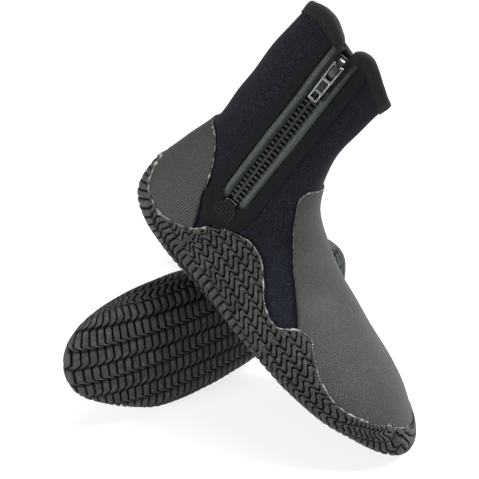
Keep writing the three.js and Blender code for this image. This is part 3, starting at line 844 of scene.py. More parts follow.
# ---------------------------------------------------------------- repeated bits along a path
def repeat_tree():
    """Copies of one small piece along a path, standing on the path's own 'out' direction."""
    tree = bpy.data.node_groups.new("pieces_along_path", "GeometryNodeTree")
    sockets = [("Path", "NodeSocketGeometry"), ("Piece", "NodeSocketObject"), ("Pitch", "NodeSocketFloat"),
               ("Smallest", "NodeSocketFloat"), ("Largest", "NodeSocketFloat"), ("Spin", "NodeSocketFloat"),
               ("Seed", "NodeSocketInt"), ("Finish", "NodeSocketMaterial")]
    for name, kind in sockets:
        tree.interface.new_socket(name, in_out="INPUT", socket_type=kind)
    tree.interface.new_socket("Pieces", in_out="OUTPUT", socket_type="NodeSocketGeometry")
    new, link = tree.nodes.new, tree.links.new
    given, result = new("NodeGroupInput"), new("NodeGroupOutput")
    curve, spaced = new("GeometryNodeMeshToCurve"), new("GeometryNodeResampleCurve")
    spaced.mode = "LENGTH"
    link(given.outputs["Path"], curve.inputs["Mesh"])
    link(curve.outputs["Curve"], spaced.inputs["Curve"])
    link(given.outputs["Pitch"], spaced.inputs["Length"])
    out, tangent = new("GeometryNodeInputNamedAttribute"), new("GeometryNodeInputTangent")
    out.data_type = "FLOAT_VECTOR"
    out.inputs["Name"].default_value = "out"
    stand, turn = new("FunctionNodeAlignRotationToVector"), new("FunctionNodeAlignRotationToVector")
    stand.axis, turn.axis, turn.pivot_axis = "Z", "X", "Z"
    link(out.outputs["Attribute"], stand.inputs["Vector"])
    link(stand.outputs["Rotation"], turn.inputs["Rotation"])
    link(tangent.outputs["Tangent"], turn.inputs["Vector"])
    spin, mix = new("FunctionNodeRandomValue"), new("FunctionNodeRotateRotation")
    spin.data_type = "FLOAT_VECTOR"
    mix.rotation_space = "LOCAL"
    lowest = new("ShaderNodeMath")
    lowest.operation = "MULTIPLY"
    lowest.inputs[1].default_value = -1
    link(given.outputs["Spin"], lowest.inputs[0])
    link(lowest.outputs[0], spin.inputs["Min"])
    link(given.outputs["Spin"], spin.inputs["Max"])
    link(given.outputs["Seed"], spin.inputs["Seed"])
    link(turn.outputs["Rotation"], mix.inputs["Rotation"])
    link(spin.outputs["Value"], mix.inputs["Rotate By"])
    size, shape = new("FunctionNodeRandomValue"), new("GeometryNodeObjectInfo")
    copies = new("GeometryNodeInstanceOnPoints")
    size.data_type = "FLOAT"
    floats = [socket for socket in size.inputs if socket.type == "VALUE" and socket.name in ("Min", "Max")]
    link(given.outputs["Smallest"], floats[0])
    link(given.outputs["Largest"], floats[1])
    link(given.outputs["Seed"], size.inputs["Seed"])
    link(given.outputs["Piece"], shape.inputs["Object"])
    link(spaced.outputs["Curve"], copies.inputs["Points"])
    link(shape.outputs["Geometry"], copies.inputs["Instance"])
    link(mix.outputs["Rotation"], copies.inputs["Rotation"])
    link([socket for socket in size.outputs if socket.type == "VALUE"][0], copies.inputs["Scale"])
    real, finish = new("GeometryNodeRealizeInstances"), new("GeometryNodeSetMaterial")
    link(copies.outputs["Instances"], real.inputs["Geometry"])
    link(real.outputs["Geometry"], finish.inputs["Geometry"])
    link(given.outputs["Finish"], finish.inputs["Material"])
    link(finish.outputs["Geometry"], result.inputs["Pieces"])
    return tree


along_path = repeat_tree()


def repeated(name, runs, shape, pitch, material, smallest=1.0, largest=1.0, spin=0.0, seed=1):
    """Copies of shape along each run of (points, out directions), in metres, as one plain mesh object."""
    vertices = np.vstack([points for points, _ in runs])
    outs = np.vstack([out for _, out in runs])
    edges, start = [], 0
    for points, _ in runs:
        edges += [(start + k, start + k + 1) for k in range(len(points) - 1)]
        start += len(points)
    path = bpy.data.meshes.new(name + "_path")
    path.from_pydata(vertices.tolist(), edges, [])
    path.attributes.new("out", "FLOAT_VECTOR", "POINT").data.foreach_set("vector", outs.ravel())
    carrier = bpy.data.objects.new(name + "_path", path)
    bpy.context.scene.collection.objects.link(carrier)
    modifier = carrier.modifiers.new("pieces", "NODES")
    modifier.node_group = along_path
    values = {"Piece": shape, "Pitch": pitch, "Smallest": smallest, "Largest": largest, "Spin": spin,
              "Seed": seed, "Finish": material}
    for item in along_path.interface.items_tree:
        if item.name in values and item.in_out == "INPUT":
            modifier[item.identifier] = values[item.name]
    graph = bpy.context.evaluated_depsgraph_get()
    graph.update()
    mesh = bpy.data.meshes.new_from_object(carrier.evaluated_get(graph))
    mesh.name = name
    mesh.shade_smooth()
    bpy.data.objects.remove(carrier)
    piece = bpy.data.objects.new(name, mesh)
    bpy.context.scene.collection.objects.link(piece)
    return piece


def pebble(name, size, rings=3, sides_round=7):
    """A small rounded bead, size (x, y, z) in metres, of a few dozen faces."""
    half = np.array(size) / 2
    vertices, faces = [half * (0, 0, -1)], []
    for ring in range(1, rings + 1):
        level = math.pi * ring / (rings + 1) - math.pi / 2
        vertices += [half * (math.cos(level) * math.cos(2 * math.pi * k / sides_round),
                             math.cos(level) * math.sin(2 * math.pi * k / sides_round), math.sin(level))
                     for k in range(sides_round)]
    vertices.append(half * (0, 0, 1))
    for k in range(sides_round):
        n = (k + 1) % sides_round
        faces.append((0, 1 + n, 1 + k))
        for ring in range(rings - 1):
            a = 1 + ring * sides_round
            faces.append((a + k, a + n, a + n + sides_round, a + k + sides_round))
        top = 1 + (rings - 1) * sides_round
        faces.append((top + k, top + n, len(vertices) - 1))
    shape = mesh_of(name, vertices, faces)
    bpy.context.scene.collection.objects.unlink(shape)
    return shape


def run_in_place(side, points, normals):
    """A path of the boot's frame and its out directions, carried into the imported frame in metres."""
    rotation, shift = places[side]
    return (points @ rotation.T + shift) / 1000, unit(normals @ rotation.T)


def even(points, normals, step):
    """A path with its points about step apart, in its own units, and its normals to match."""
    lengths = np.concatenate([[0], np.cumsum(np.linalg.norm(np.diff(points, axis=0), axis=1))])
    count = max(int(lengths[-1] / step), 2)
    at = np.linspace(0, lengths[-1], count + 1)

    def follow(values):
        return np.stack([np.interp(at, lengths, column) for column in values.T], axis=1)

    return follow(points), unit(follow(normals))


# ---------------------------------------------------------------- neoprene panels and what is bonded on them
whole_skin = skin.sheet()
slot_foot = zip_end - 8
face_slot_foot = zip_end - 5
band_foot = zip_end - 25
foam_edge = 0.9
overlay_edge = 0.6
band_edge = 0.5
seam_half = 1.0
stitch_inset = 1.6
heel_reach = 60
heel_weave = 1.6
flap_room = 0.8


def shaped(fields, sheet=whole_skin):
    """The part of a sheet that lies inside every field."""
    data, triangles = sheet
    for field in fields:
        data, triangles = cut(data, triangles, field)
    return data, triangles


def panel(end, side):
    """A foam panel: end is 1 at the front, -1 at the rear; side is 1 outside, -1 on the zip side."""
    seam = gap / 2 + foam_edge
    fields = [
        lambda p: p[:, 2] - height_of(bottom, p[:, 0]) - strobel_rise - gap,
        lambda p: below_rim(p) - foam_edge,
        lambda p: end * forward_of_zip(p) - seam,
        lambda p: side * p[:, 1] - seam,
    ]
    if side < 0:
        fields.append(lambda p: outside_slot(p, zip_slot + foam_edge, slot_foot - foam_edge))
    data, triangles = shaped(fields)
    return thicken(data, triangles, 0, -neoprene, foam_edge)


def make_panels():
    """The four foam panels that meet at the zip, at the outer side and down the middle."""
    for end, end_name in ((1, "front"), (-1, "rear")):
        for side, side_name in ((1, "outer"), (-1, "inner")):
            name = f"{end_name}_{side_name}_panel"
            for piece in both(name, panel(end, side), navy_jersey, [name]):
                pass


def make_bottom_panel():
    """The panel under the foot, glued into the outsole."""
    data, triangles = shaped([lambda p: height_of(bottom, p[:, 0]) + strobel_rise - p[:, 2] - 0.5])
    shape = thicken(data, triangles, 0, -neoprene, 0.5)
    both("bottom_panel", shape, black_lining, ["bottom_panel"])


def make_seam_glue():
    """The dark glue down in the butt joints between the foam panels."""
    def kept(points):
        sole_clear = points[:, 2] - height_of(bottom, points[:, 0]) - strobel_rise - 3
        return np.minimum(below_rim(points) - 3, sole_clear)

    def in_middle(points):
        return seam_half - np.abs(points[:, 1])

    def in_sides(points):
        return seam_half - np.abs(forward_of_zip(points))

    def clear_of_zip(points):
        return outside_slot(points, zip_slot + foam_edge, slot_foot - foam_edge)

    for name, across in (("middle_seam_glue", in_middle), ("side_seam_glue", in_sides)):
        data, triangles = shaped([kept, across, clear_of_zip])
        both(name, thicken(data, triangles, -1.3, -neoprene + 0.8, 0.2), black_lining)


def make_overlays():
    """The rubberised twill over the heel and over the vamp; returns the sheets, for their cemented edges."""
    tuck = 1.5

    def into_sole(points):
        return above_sole(points) + tuck

    def clear_of_band(points):
        return -in_tongue(points, facing_reach + gap + overlay_edge, band_foot - gap - overlay_edge)

    heel = shaped([lambda p: -side_of_line(p, heel_edge) - overlay_edge, into_sole,
                   lambda p: heel_reach - p[:, 0], clear_of_band])
    vamp = shaped([lambda p: side_of_line(p, vamp_edge) - overlay_edge, into_sole])
    for name, sheet in (("heel_overlay", heel), ("vamp_overlay", vamp)):
        data, triangles = sheet
        cloth = data.copy()
        if name == "heel_overlay":
            cloth[:, 6:8] *= heel_weave
        else:
            cloth[:, 6] *= -1
        shape = thicken(cloth, triangles, gap + overlay, gap - 0.2, overlay_edge)
        both(name, shape, rubber_twill, [name])
    return heel, vamp


# ---------------------------------------------------------------- the collar
def rim_strip(turn, columns_along=70):
    """Skin just under the rim: for each turn, the depth below the rim of points down the shaft."""
    index = np.linspace(0, 2.2, columns_along)
    points = skin_points(index, turn)
    normals = grid_normals(points, closed=False)
    ring, ring_normals = points[10, :, :2], normals[10, :, :2]
    normals *= np.sign((ring_normals * (ring - ring.mean(axis=0))).sum())
    depth = below_rim(points.reshape(-1, 3)).reshape(points.shape[:2])
    return points, normals, depth


def at_depth(strip_parts, depth, offset):
    """The run round the rim at one depth below it, moved out from the skin by offset; and its normals."""
    points, normals, depths = strip_parts
    run, out = [], []
    for column in range(points.shape[1]):
        here = depth[column] if np.ndim(depth) else depth
        run.append([np.interp(here, depths[:, column], points[:, column, k]) for k in range(3)])
        out.append([np.interp(here, depths[:, column], normals[:, column, k]) for k in range(3)])
    run, out = np.array(run), unit(np.array(out))
    return run + out * offset, out


def rim_turns(half_opening, count):
    """Turns round the rim from one side of the zip opening to the other, the long way round."""
    turn = np.linspace(math.pi, 2 * math.pi, 400)
    ring = skin_points(np.array([rim_row]), turn)[0]
    across = in_zip(ring)[:, 0]
    order = np.argsort(across)
    front = np.interp(half_opening, across[order], turn[order])
    rear = np.interp(-half_opening, across[order], turn[order])
    return np.linspace(max(front, rear), min(front, rear) + 2 * math.pi, count)


# The folded tape's profile, (out from the skin, down from the rim): outside, over the rim, inside and back
binding_profile = [(0.35, 9.3), (0.75, 9.55), (1.05, 9.3), (1.0, 8.5), (0.72, 7.9), (1.05, 7.3), (1.35, 5),
                   (1.5, 2.5), (1.35, 0.6), (0.6, -0.75), (-0.8, -1.25), (-2.5, -1.4), (-4.2, -1.25),
                   (-5.5, -0.7), (-6.1, 0.6), (-6.2, 3), (-6.1, 8.6), (-5.8, 9.4), (-5.35, 9.3), (-5.3, 5),
                   (-5.2, 0.3), (-4.6, -0.2), (-0.4, -0.2), (0.2, 0.3), (0.3, 5)]
seam_depth = 7.9
notch_half = 3.0
notch_drop = 3.2
notch_round = 3.0
zip_corner_lift = 2.1
zip_corner_reach = 9
ruffle_depth = 0.16
far_from_zip = 40


def make_binding():
    """The folded tape over the rim; its ends meet in a small notch over the top of the zip."""
    turn = rim_turns(notch_half, 320)
    parts = rim_strip(turn)
    near_zip = np.abs(in_zip(parts[0][0])[:, 0])
    near_zip = np.where(parts[0][0][:, 1] < 0, near_zip, far_from_zip)
    sink = notch_drop * np.exp(-np.maximum(near_zip - notch_half, 0) / notch_round)
    rings, weave = [], []
    lengths = None
    for offset, depth in binding_profile:
        outer_share = np.clip((offset + 3) / 3, 0, 1)
        ruffle = ruffle_depth * np.sin(turn * 37) * np.sin(turn * 11 + 1) * outer_share
        top_share = np.clip(1 - depth / binding_height, 0, 1)
        lift = zip_corner_lift * (1 - top_share) * np.clip((zip_corner_reach - near_zip) / 2, 0, 1)
        run, out = at_depth(parts, depth + sink * top_share - lift, 0)
        rings.append(run + out * (offset + ruffle)[:, None])
        if lengths is None:
            lengths = np.concatenate([[0], np.cumsum(np.linalg.norm(np.diff(run, axis=0), axis=1))])
        weave.append(np.stack([np.full(len(turn), offset + depth), lengths, np.zeros(len(turn))], axis=1))
    vertices, faces = tube(np.stack(rings, axis=1))
    weave = np.stack(weave, axis=1).reshape(-1, 3)
    both("collar_binding", (vertices, faces, weave), rim_tape, ["collar_binding"])
    return parts, near_zip


# ---------------------------------------------------------------- round the zip
cast_height = 30.0


def zip_sheet(half_width, low, high, step):
    """A fine sheet of the skin laid out square to the zip; its weave runs with the zip."""
    across = np.linspace(-half_width, half_width, int(2 * half_width / step) + 1)
    along = np.linspace(high, low, int((high - low) / step) + 1)
    y, x = np.meshgrid(along, across, indexing="ij")
    flat = np.stack([x.ravel(), y.ravel(), np.full(x.size, cast_height)], axis=1)
    hits, normals, found = skin.cast(from_zip(flat), np.broadcast_to(-zip_out, flat.shape))
    weave = np.stack([x.ravel(), y.ravel(), np.zeros(x.size)], axis=1)
    quads = grid_quads(len(along), len(across), closed=False)
    quads = quads[found[quads].all(axis=1)]
    a, b, c = (hits[quads[0, k]] for k in (0, 1, 2))
    if np.dot(np.cross(b - a, c - a), zip_out) < 0:
        quads = quads[:, ::-1]
    return np.hstack([hits, normals, weave]), triangles_of(quads)


zip_skin = zip_sheet(24, -158, 6, 0.75)


def make_band():
    """The woven band that frames the zip: softly padded, and pulled down along its seam."""
    band = shaped([
        lambda p: in_tongue(p, facing_reach - band_edge, band_foot + band_edge),
        lambda p: -in_tongue(p, face_slot + band_edge, face_slot_foot - band_edge),
        lambda p: below_rim(p, -binding_height - gap - band_edge),
        lambda p: above_sole(p) - gap - band_edge,
    ], zip_skin)
    x, y = band[0][:, 6], band[0][:, 7]
    middle = band_foot + facing_reach
    reach = np.where(y > middle, np.abs(x), np.hypot(x, y - middle))
    swell = 0.35 * np.sin(np.clip((reach - face_slot) / (facing_reach - face_slot), 0, 1) * math.pi) ** 0.5
    seam = -0.4 * np.exp(-((reach - (facing_reach - stitch_inset)) / 0.5) ** 2)
    shape = thicken(*band, gap + facing - 0.2, gap - 0.2, band_edge, puff=swell + seam)
    both("zip_band", shape, band_webbing, ["zip_band"])


def make_patch():
    """The round mesh patch over the zip's foot, with a raised lip round its lower half."""
    centre = zip_end - patch_radius - 1.2
    edge = 0.4

    def in_disc(points):
        x, y, _ = in_zip(points).T
        return patch_radius - edge - np.hypot(x, y - centre)

    data, triangles = shaped([in_disc, lambda p: in_zip(p)[:, 2] + 20], zip_sheet(11, -148, -125, 0.38))
    x, y = data[:, 6], data[:, 7] - centre
    radius = np.hypot(x, y)
    threads = np.maximum(np.sin(x * 2 * math.pi / patch_weave), np.sin(y * 2 * math.pi / patch_weave))
    lower = np.clip((-y - 3.5) / 2, 0.1, 1)
    lip = 0.75 * lower * np.exp(-((radius - patch_radius + 1.1) / 0.6) ** 2)
    weave_depth = 0.18 * threads * np.clip((patch_radius - 2.2 - radius) / 0.8, 0, 1)
    seat = 2 * gap + facing
    shape = thicken(data, triangles, seat + 0.2, seat - 0.5, edge, puff=lip + weave_depth)
    both("zip_patch", shape, patch_mesh, ["zip_patch"])


def make_flap():
    """The thin flap behind the zip, set far enough in for the slider to run clear of it."""
    half, foot, thickness, edge = 19.6, zip_end - 15.5, 1.5, 0.4
    fields = [lambda p: in_tongue(p, half, foot), lambda p: below_rim(p, -binding_height - gap - edge)]
    data, triangles = shaped(fields, zip_sheet(24, -150, 6, 2.0))
    top = -neoprene - gap - flap_room
    shape = thicken(data, triangles, top, top - thickness, edge)
    both("water_flap", shape, smooth_skin_rubber, ["water_flap"])


# A zip tape's profile, (out from the chain's middle, out of the boot); above the flat part it is a soft roll
tape_flat = -1.9
tape_profile = [(4.35, -2.9), (4.35, -2.15), (5.4, -1.95), (5.9, -1.4), (6.5, -0.75), (7.3, -0.35),
                (8.3, -0.25), (9.3, -0.5), (10.3, -1.1), (11.3, -2.1), (11.6, -2.7), (11.3, -3.1), (9, -3.2),
                (6, -3.2)]


def make_tapes():
    """The zip's coated tape: flat beside the chain, then a soft roll that runs under the band."""
    along = np.linspace(-0.6, zip_end - 6, 130)
    for side, name in ((1, "zip_tape_front"), (-1, "zip_tape_rear")):
        rings, weave = [], []
        for y in along:
            sway = 0.12 * math.sin(y * 0.21 + side) + 0.08 * math.sin(y * 0.53)
            roll = np.clip((-1.5 - y) / 8, 0, 1) * np.clip((y - zip_end - 1) / 9 + 0.2, 0.2, 1)
            rings.append([[side * x, y, z if z < tape_flat else tape_flat + (z - tape_flat + sway) * roll]
                          for x, z in tape_profile])
            weave.append([[side * x, y, 0] for x, _ in tape_profile])
        vertices, faces = tube(np.array(rings))
        weave = np.array(weave, float).reshape(-1, 3)
        both(name, (from_zip(vertices), faces, weave), grey_zip_tape, [name])


# ---------------------------------------------------------------- the zip's hard parts
def moulding(name, outlines, low, high, bevel):
    """A plate with rounded edges, from closed outlines: the first is its edge, the rest are holes."""
    curve = bpy.data.curves.new(name, "CURVE")
    curve.dimensions = "2D"
    curve.fill_mode = "BOTH"
    curve.extrude = (high - low) / 2 - bevel
    curve.bevel_depth = bevel
    curve.bevel_resolution = 2
    curve.offset = -bevel
    for outline in outlines:
        spline = curve.splines.new("POLY")
        spline.points.add(len(outline) - 1)
        spline.points.foreach_set("co", np.hstack([outline, np.zeros((len(outline), 1)),
                                                   np.ones((len(outline), 1))]).ravel())
        spline.use_cyclic_u = True
    carrier = bpy.data.objects.new(name, curve)
    bpy.context.scene.collection.objects.link(carrier)
    graph = bpy.context.evaluated_depsgraph_get()
    graph.update()
    mesh = bpy.data.meshes.new_from_object(carrier.evaluated_get(graph))
    vertices = np.zeros(len(mesh.vertices) * 3)
    mesh.vertices.foreach_get("co", vertices)
    vertices = vertices.reshape(-1, 3) + (0, 0, (low + high) / 2)
    faces = [list(polygon.vertices) for polygon in mesh.polygons]
    bpy.data.objects.remove(carrier)
    bpy.data.meshes.remove(mesh)
    vertices, faces = welded(vertices, faces)
    return vertices, oriented(vertices, faces)


def welded(vertices, faces, digits=4):
    """The same shape with points that coincide made one."""
    keys, names = np.unique(np.round(vertices, digits), axis=0, return_inverse=True)
    names = names.ravel()
    clean = []
    for face in faces:
        ring = [int(names[v]) for v in face]
        ring = [v for k, v in enumerate(ring) if v != ring[k - 1]]
        if len(set(ring)) > 2:
            clean.append(ring)
    return keys, clean


def joined(*shapes):
    """Several shapes as one list of points and faces."""
    vertices, faces, start = [], [], 0
    for points, sides_of in shapes:
        vertices.append(points)
        faces += [[v + start for v in face] for face in sides_of]
        start += len(points)
    return np.vstack(vertices), faces


def rounded(corners, radius, steps=4):
    """A closed outline with its corners rounded."""
    corners = np.array(corners, float)
    out = []
    for k, corner in enumerate(corners):
        before, after = corners[k - 1] - corner, corners[(k + 1) % len(corners)] - corner
        reach = min(radius, 0.49 * min(np.linalg.norm(before), np.linalg.norm(after)))
        start, end = corner + unit(before) * reach, corner + unit(after) * reach
        for step in range(steps + 1):
            t = step / steps
            out.append((1 - t) ** 2 * start + 2 * t * (1 - t) * corner + t ** 2 * end)
    return np.array(out)


def box_outline(x0, y0, x1, y1):
    """The outline of a rectangle."""
    return [[x0, y0], [x1, y0], [x1, y1], [x0, y1]]


def turned_on_side(shape):
    """A plate drawn as (zip Y, zip Z) with its thickness across the zip, stood up into the zip's frame."""
    vertices, faces = shape
    return vertices[:, [2, 0, 1]], faces


slider_half = 6.25
slider_top = -3.2
slider_foot = slider_top - 20
plate_low, plate_high = 0.7, 2.0


def slider_shapes():
    """The slider's body, and the strap-like bridge on it that holds the pull."""
    half = slider_half
    shield = rounded([[half - 1.8, slider_top], [half, slider_top - 2.6], [half, slider_top - 11],
                      [half - 1.3, slider_foot + 1.4], [half - 2.6, slider_foot], [-half + 2.6, slider_foot],
                      [-half + 1.3, slider_foot + 1.4], [-half, slider_top - 11], [-half, slider_top - 2.6],
                      [-half + 1.8, slider_top]], 1.6)

    def flange(side):
        near, far = sorted((side * 4.7, side * 5.5))
        outline = rounded(box_outline(near, slider_foot + 2.5, far, slider_top - 2.5), 0.3)
        return moulding("flange", [outline], -1.7, 0.9, 0.15)

    wedge_outline = [[-1.6, slider_top - 0.4], [-0.9, -8.2], [0.9, -8.2], [1.6, slider_top - 0.4]]
    wedge = moulding("wedge", [rounded(wedge_outline, 0.5)], -3.4, 0.9, 0.15)
    crown_outline = [[-3.6, slider_top - 1.6], [-2.9, slider_foot + 4.2], [2.9, slider_foot + 4.2],
                     [3.6, slider_top - 1.6]]
    crown = moulding("crown", [rounded(crown_outline, 1.2)], plate_high - 0.3, plate_high + 0.45, 0.3)
    bridge = [[-4.1, 1.9], [-4.4, 3.5], [-5.6, 5.2], [-7.9, 6.35], [-11, 6.6], [-14.5, 6.35], [-17.4, 5.3],
              [-19, 3.4], [-19.3, 1.9], [-17.3, 1.9], [-17, 3.1], [-16, 4.2], [-14, 4.9], [-11, 5.1],
              [-8.9, 4.9], [-7.5, 4.2], [-6.6, 3.1], [-6.3, 1.9]]
    strap = turned_on_side(moulding("bridge", [rounded(bridge, 0.7, 3)], -2.1, 2.1, 0.35))
    body = joined(moulding("top_plate", [shield], plate_low, plate_high, 0.4),
                  moulding("back_plate", [shield], -4.6, -3.3, 0.4), flange(1), flange(-1), wedge, crown)
    return body, strap


def pull_shapes():
    """The pull: a fork that clasps the bridge, a cross bar, a sunk panel and a window at its foot."""
    half, arm, top, foot = 4.0, 2.6, -8.7, -37.2
    pin_radius, pin_half = 0.75, 3.3
    frame_outline = rounded([[half, top], [half - 0.5, foot], [-half + 0.5, foot], [-half, top], [-arm, top],
                             [-arm, -20.4], [arm, -20.4], [arm, top]], 1.2, 6)
    panel_hole = rounded(box_outline(-2.5, -29.6, 2.5, -22.3), 0.8)
    thumb_hole = rounded(box_outline(-2.4, -35.6, 2.4, -31), 1.2)
    rails = moulding("pull_frame", [frame_outline, panel_hole, thumb_hole], 2.9, 4.8, 0.5)
    sunk = moulding("pull_panel", [box_outline(-2.9, -30, 2.9, -21.9)], 3.1, 3.7, 0.08)
    turn = np.linspace(0, 2 * math.pi, 14, endpoint=False)
    pin_ring = pull_pivot[1:] + pin_radius * np.stack([np.cos(turn), np.sin(turn)], axis=1)
    pin = turned_on_side(moulding("pull_pin", [pin_ring], -pin_half, pin_half, 0.15))
    return joined(rails, pin), sunk


def hard_piece(name, shape, material, body="boot", nodes=None):
    """A moulded or cast piece of the zip on each boot, with crisp edges."""
    vertices, faces = shape
    for side in sides:
        laid, turned = placed(side, from_zip(vertices), faces)
        piece = mesh_of(f"{side}_{name}", laid, turned, material=material)
        smooth_by_angle(piece, 38)
        fit_piece(piece, side, [name] if nodes is None else nodes, body)


def smooth_by_angle(piece, degrees):
    """Smooth faces, but sharp edges where the surface turns by more than the angle."""
    mesh = piece.data
    mesh.shade_smooth()
    mesh.set_sharp_from_angle(angle=math.radians(degrees))


def make_slider_and_pull():
    """The slider with its bridge, and the pull that swings on it."""
    body, bridge = slider_shapes()
    hard_piece("zip_slider", body, black_plate, "slider")
    hard_piece("zip_slider_bridge", bridge, dark_plate, "slider", nodes=())
    rails, sunk_panel = pull_shapes()
    hard_piece("zip_pull", rails, gunmetal_plate, "pull")
    hard_piece("zip_pull_panel", sunk_panel, dark_plate, "pull", nodes=())


def make_stops():
    """The two clips above the chain and the box below it."""
    for side, name in ((1, "zip_top_stop_front"), (-1, "zip_top_stop_rear")):
        low, high = sorted((side * 4.5, side * 7))
        clip = moulding(name, [rounded(box_outline(low, -2.7, high, -0.6), 0.5)], -3.1, -0.9, 0.3)
        hard_piece(name, clip, gunmetal_plate)
    box_plan = rounded(box_outline(-4.2, zip_end - 3.3, 4.2, zip_end - gap), 0.8)
    box = moulding("zip_bottom_stop", [box_plan], -3, 0.75, 0.35)
    hard_piece("zip_bottom_stop", box, black_acetal)


def tooth(name):
    """One moulded tooth: X along the zip, Y towards its middle, Z out of the boot; in metres."""
    outline = np.array([[-0.95, -1.55], [0.95, -1.55], [0.95, 0.2], [0.62, 1.3], [0.95, 2.1], [0.95, 3.1],
                        [0.6, 3.75], [-0.6, 3.75], [-0.95, 3.1], [-0.95, 2.1], [-0.62, 1.3], [-0.95, 0.2]])
    inset = unit(outline - outline.mean(axis=0)) * 0.3
    levels = ((outline - inset, -1.6), (outline, -1.25), (outline, 1.3), (outline - inset, 1.7))
    rings = [np.hstack([plan, np.full((len(outline), 1), height)]) for plan, height in levels]
    vertices, faces = tube(np.array(rings))
    shape = mesh_of(name, vertices / 1000, faces)
    bpy.context.scene.collection.objects.unlink(shape)
    return shape


first_tooth = 0.8
row_reach = 2.55
row_height = -1.3
just_under = 0.9999


def make_teeth():
    """The two rows of teeth, half a pitch apart, drawn together."""
    shape = tooth("one_tooth")
    for side in sides:
        for end, name in ((1, "zip_teeth_front"), (-1, "zip_teeth_rear")):
            first = -chain_top - (first_tooth if end > 0 else first_tooth + tooth_pitch / 2)
            count = int((-first + zip_end + 0.4) / -tooth_pitch)
            upward = (end > 0) == (side == "left")
            rows = first - tooth_pitch * np.arange(count + 1)
            rows = rows[::-1] if upward else rows
            reach, height = np.full(len(rows), end * row_reach), np.full(len(rows), row_height)
            line = np.stack([reach, rows, height], axis=1)
            path = run_in_place(side, from_zip(line), np.broadcast_to(zip_out, line.shape))
            pitch = tooth_pitch / 1000 * just_under
            piece = repeated(f"{side}_{name}", [path], shape, pitch, black_acetal)
            smooth_by_angle(piece, 35)
            fit_piece(piece, side, [name])


# ---------------------------------------------------------------- footbed
def make_footbed():
    """A loose foam insole with a crowned top, lying on the boot's inner skin."""
    lie = neoprene + footbed_play + 0.2

    def top(x):
        return height_of(bottom, x) + neoprene + footbed_play + footbed

    data, triangles = whole_skin
    inside = data.copy()
    inside[:, :3] = data[:, :3] - data[:, 3:6] * lie
    inside, triangles = cut(inside, triangles, lambda p: top(p[:, 0]) - p[:, 2])
    inside, triangles = cut(inside, triangles, lambda p: np.minimum(270 - p[:, 0], p[:, 0] - 6))
    loop = max(chains(border(triangles)), key=len)
    ring = inside[loop, :3]
    vertices, faces = [inside[:, :3]], triangles.tolist()
    previous, start = list(loop), len(inside)
    spine = np.stack([np.clip(ring[:, 0], 40, 235), np.zeros(len(ring)), np.zeros(len(ring))], axis=1)
    for share in (0.15, 0.35, 0.6, 0.85, 1.0):
        row = ring * (1 - share) + spine * share
        row[:, 2] = top(row[:, 0]) + 0.8 * math.sin(share * math.pi / 2)
        names = list(range(start, start + len(loop)))
        faces += [[previous[k - 1], previous[k], names[k], names[k - 1]] for k in range(len(loop))]
        vertices.append(row)
        previous, start = names, start + len(loop)
    vertices, faces = welded(np.vstack(vertices), faces, 3)
    faces = oriented(vertices, faces)
    for piece in both("footbed", (vertices, faces, vertices), footbed_cloth, ["footbed"]):
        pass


# ---------------------------------------------------------------- the outsole
heel_pivot = np.array([60.0, 90.0])
toe_pivot = np.array([225.0, 50.0])
chart_step = 1.5
round_step = 1.25
round_reach = 112
fan_reach = 84
rib_pitch = 6.2
groove_depth = 2.2
nick_depth = 0.5
zig_reach = 0.9
flat_reach = 46.0
long_repeat = 27.5
short_repeat = 9.5


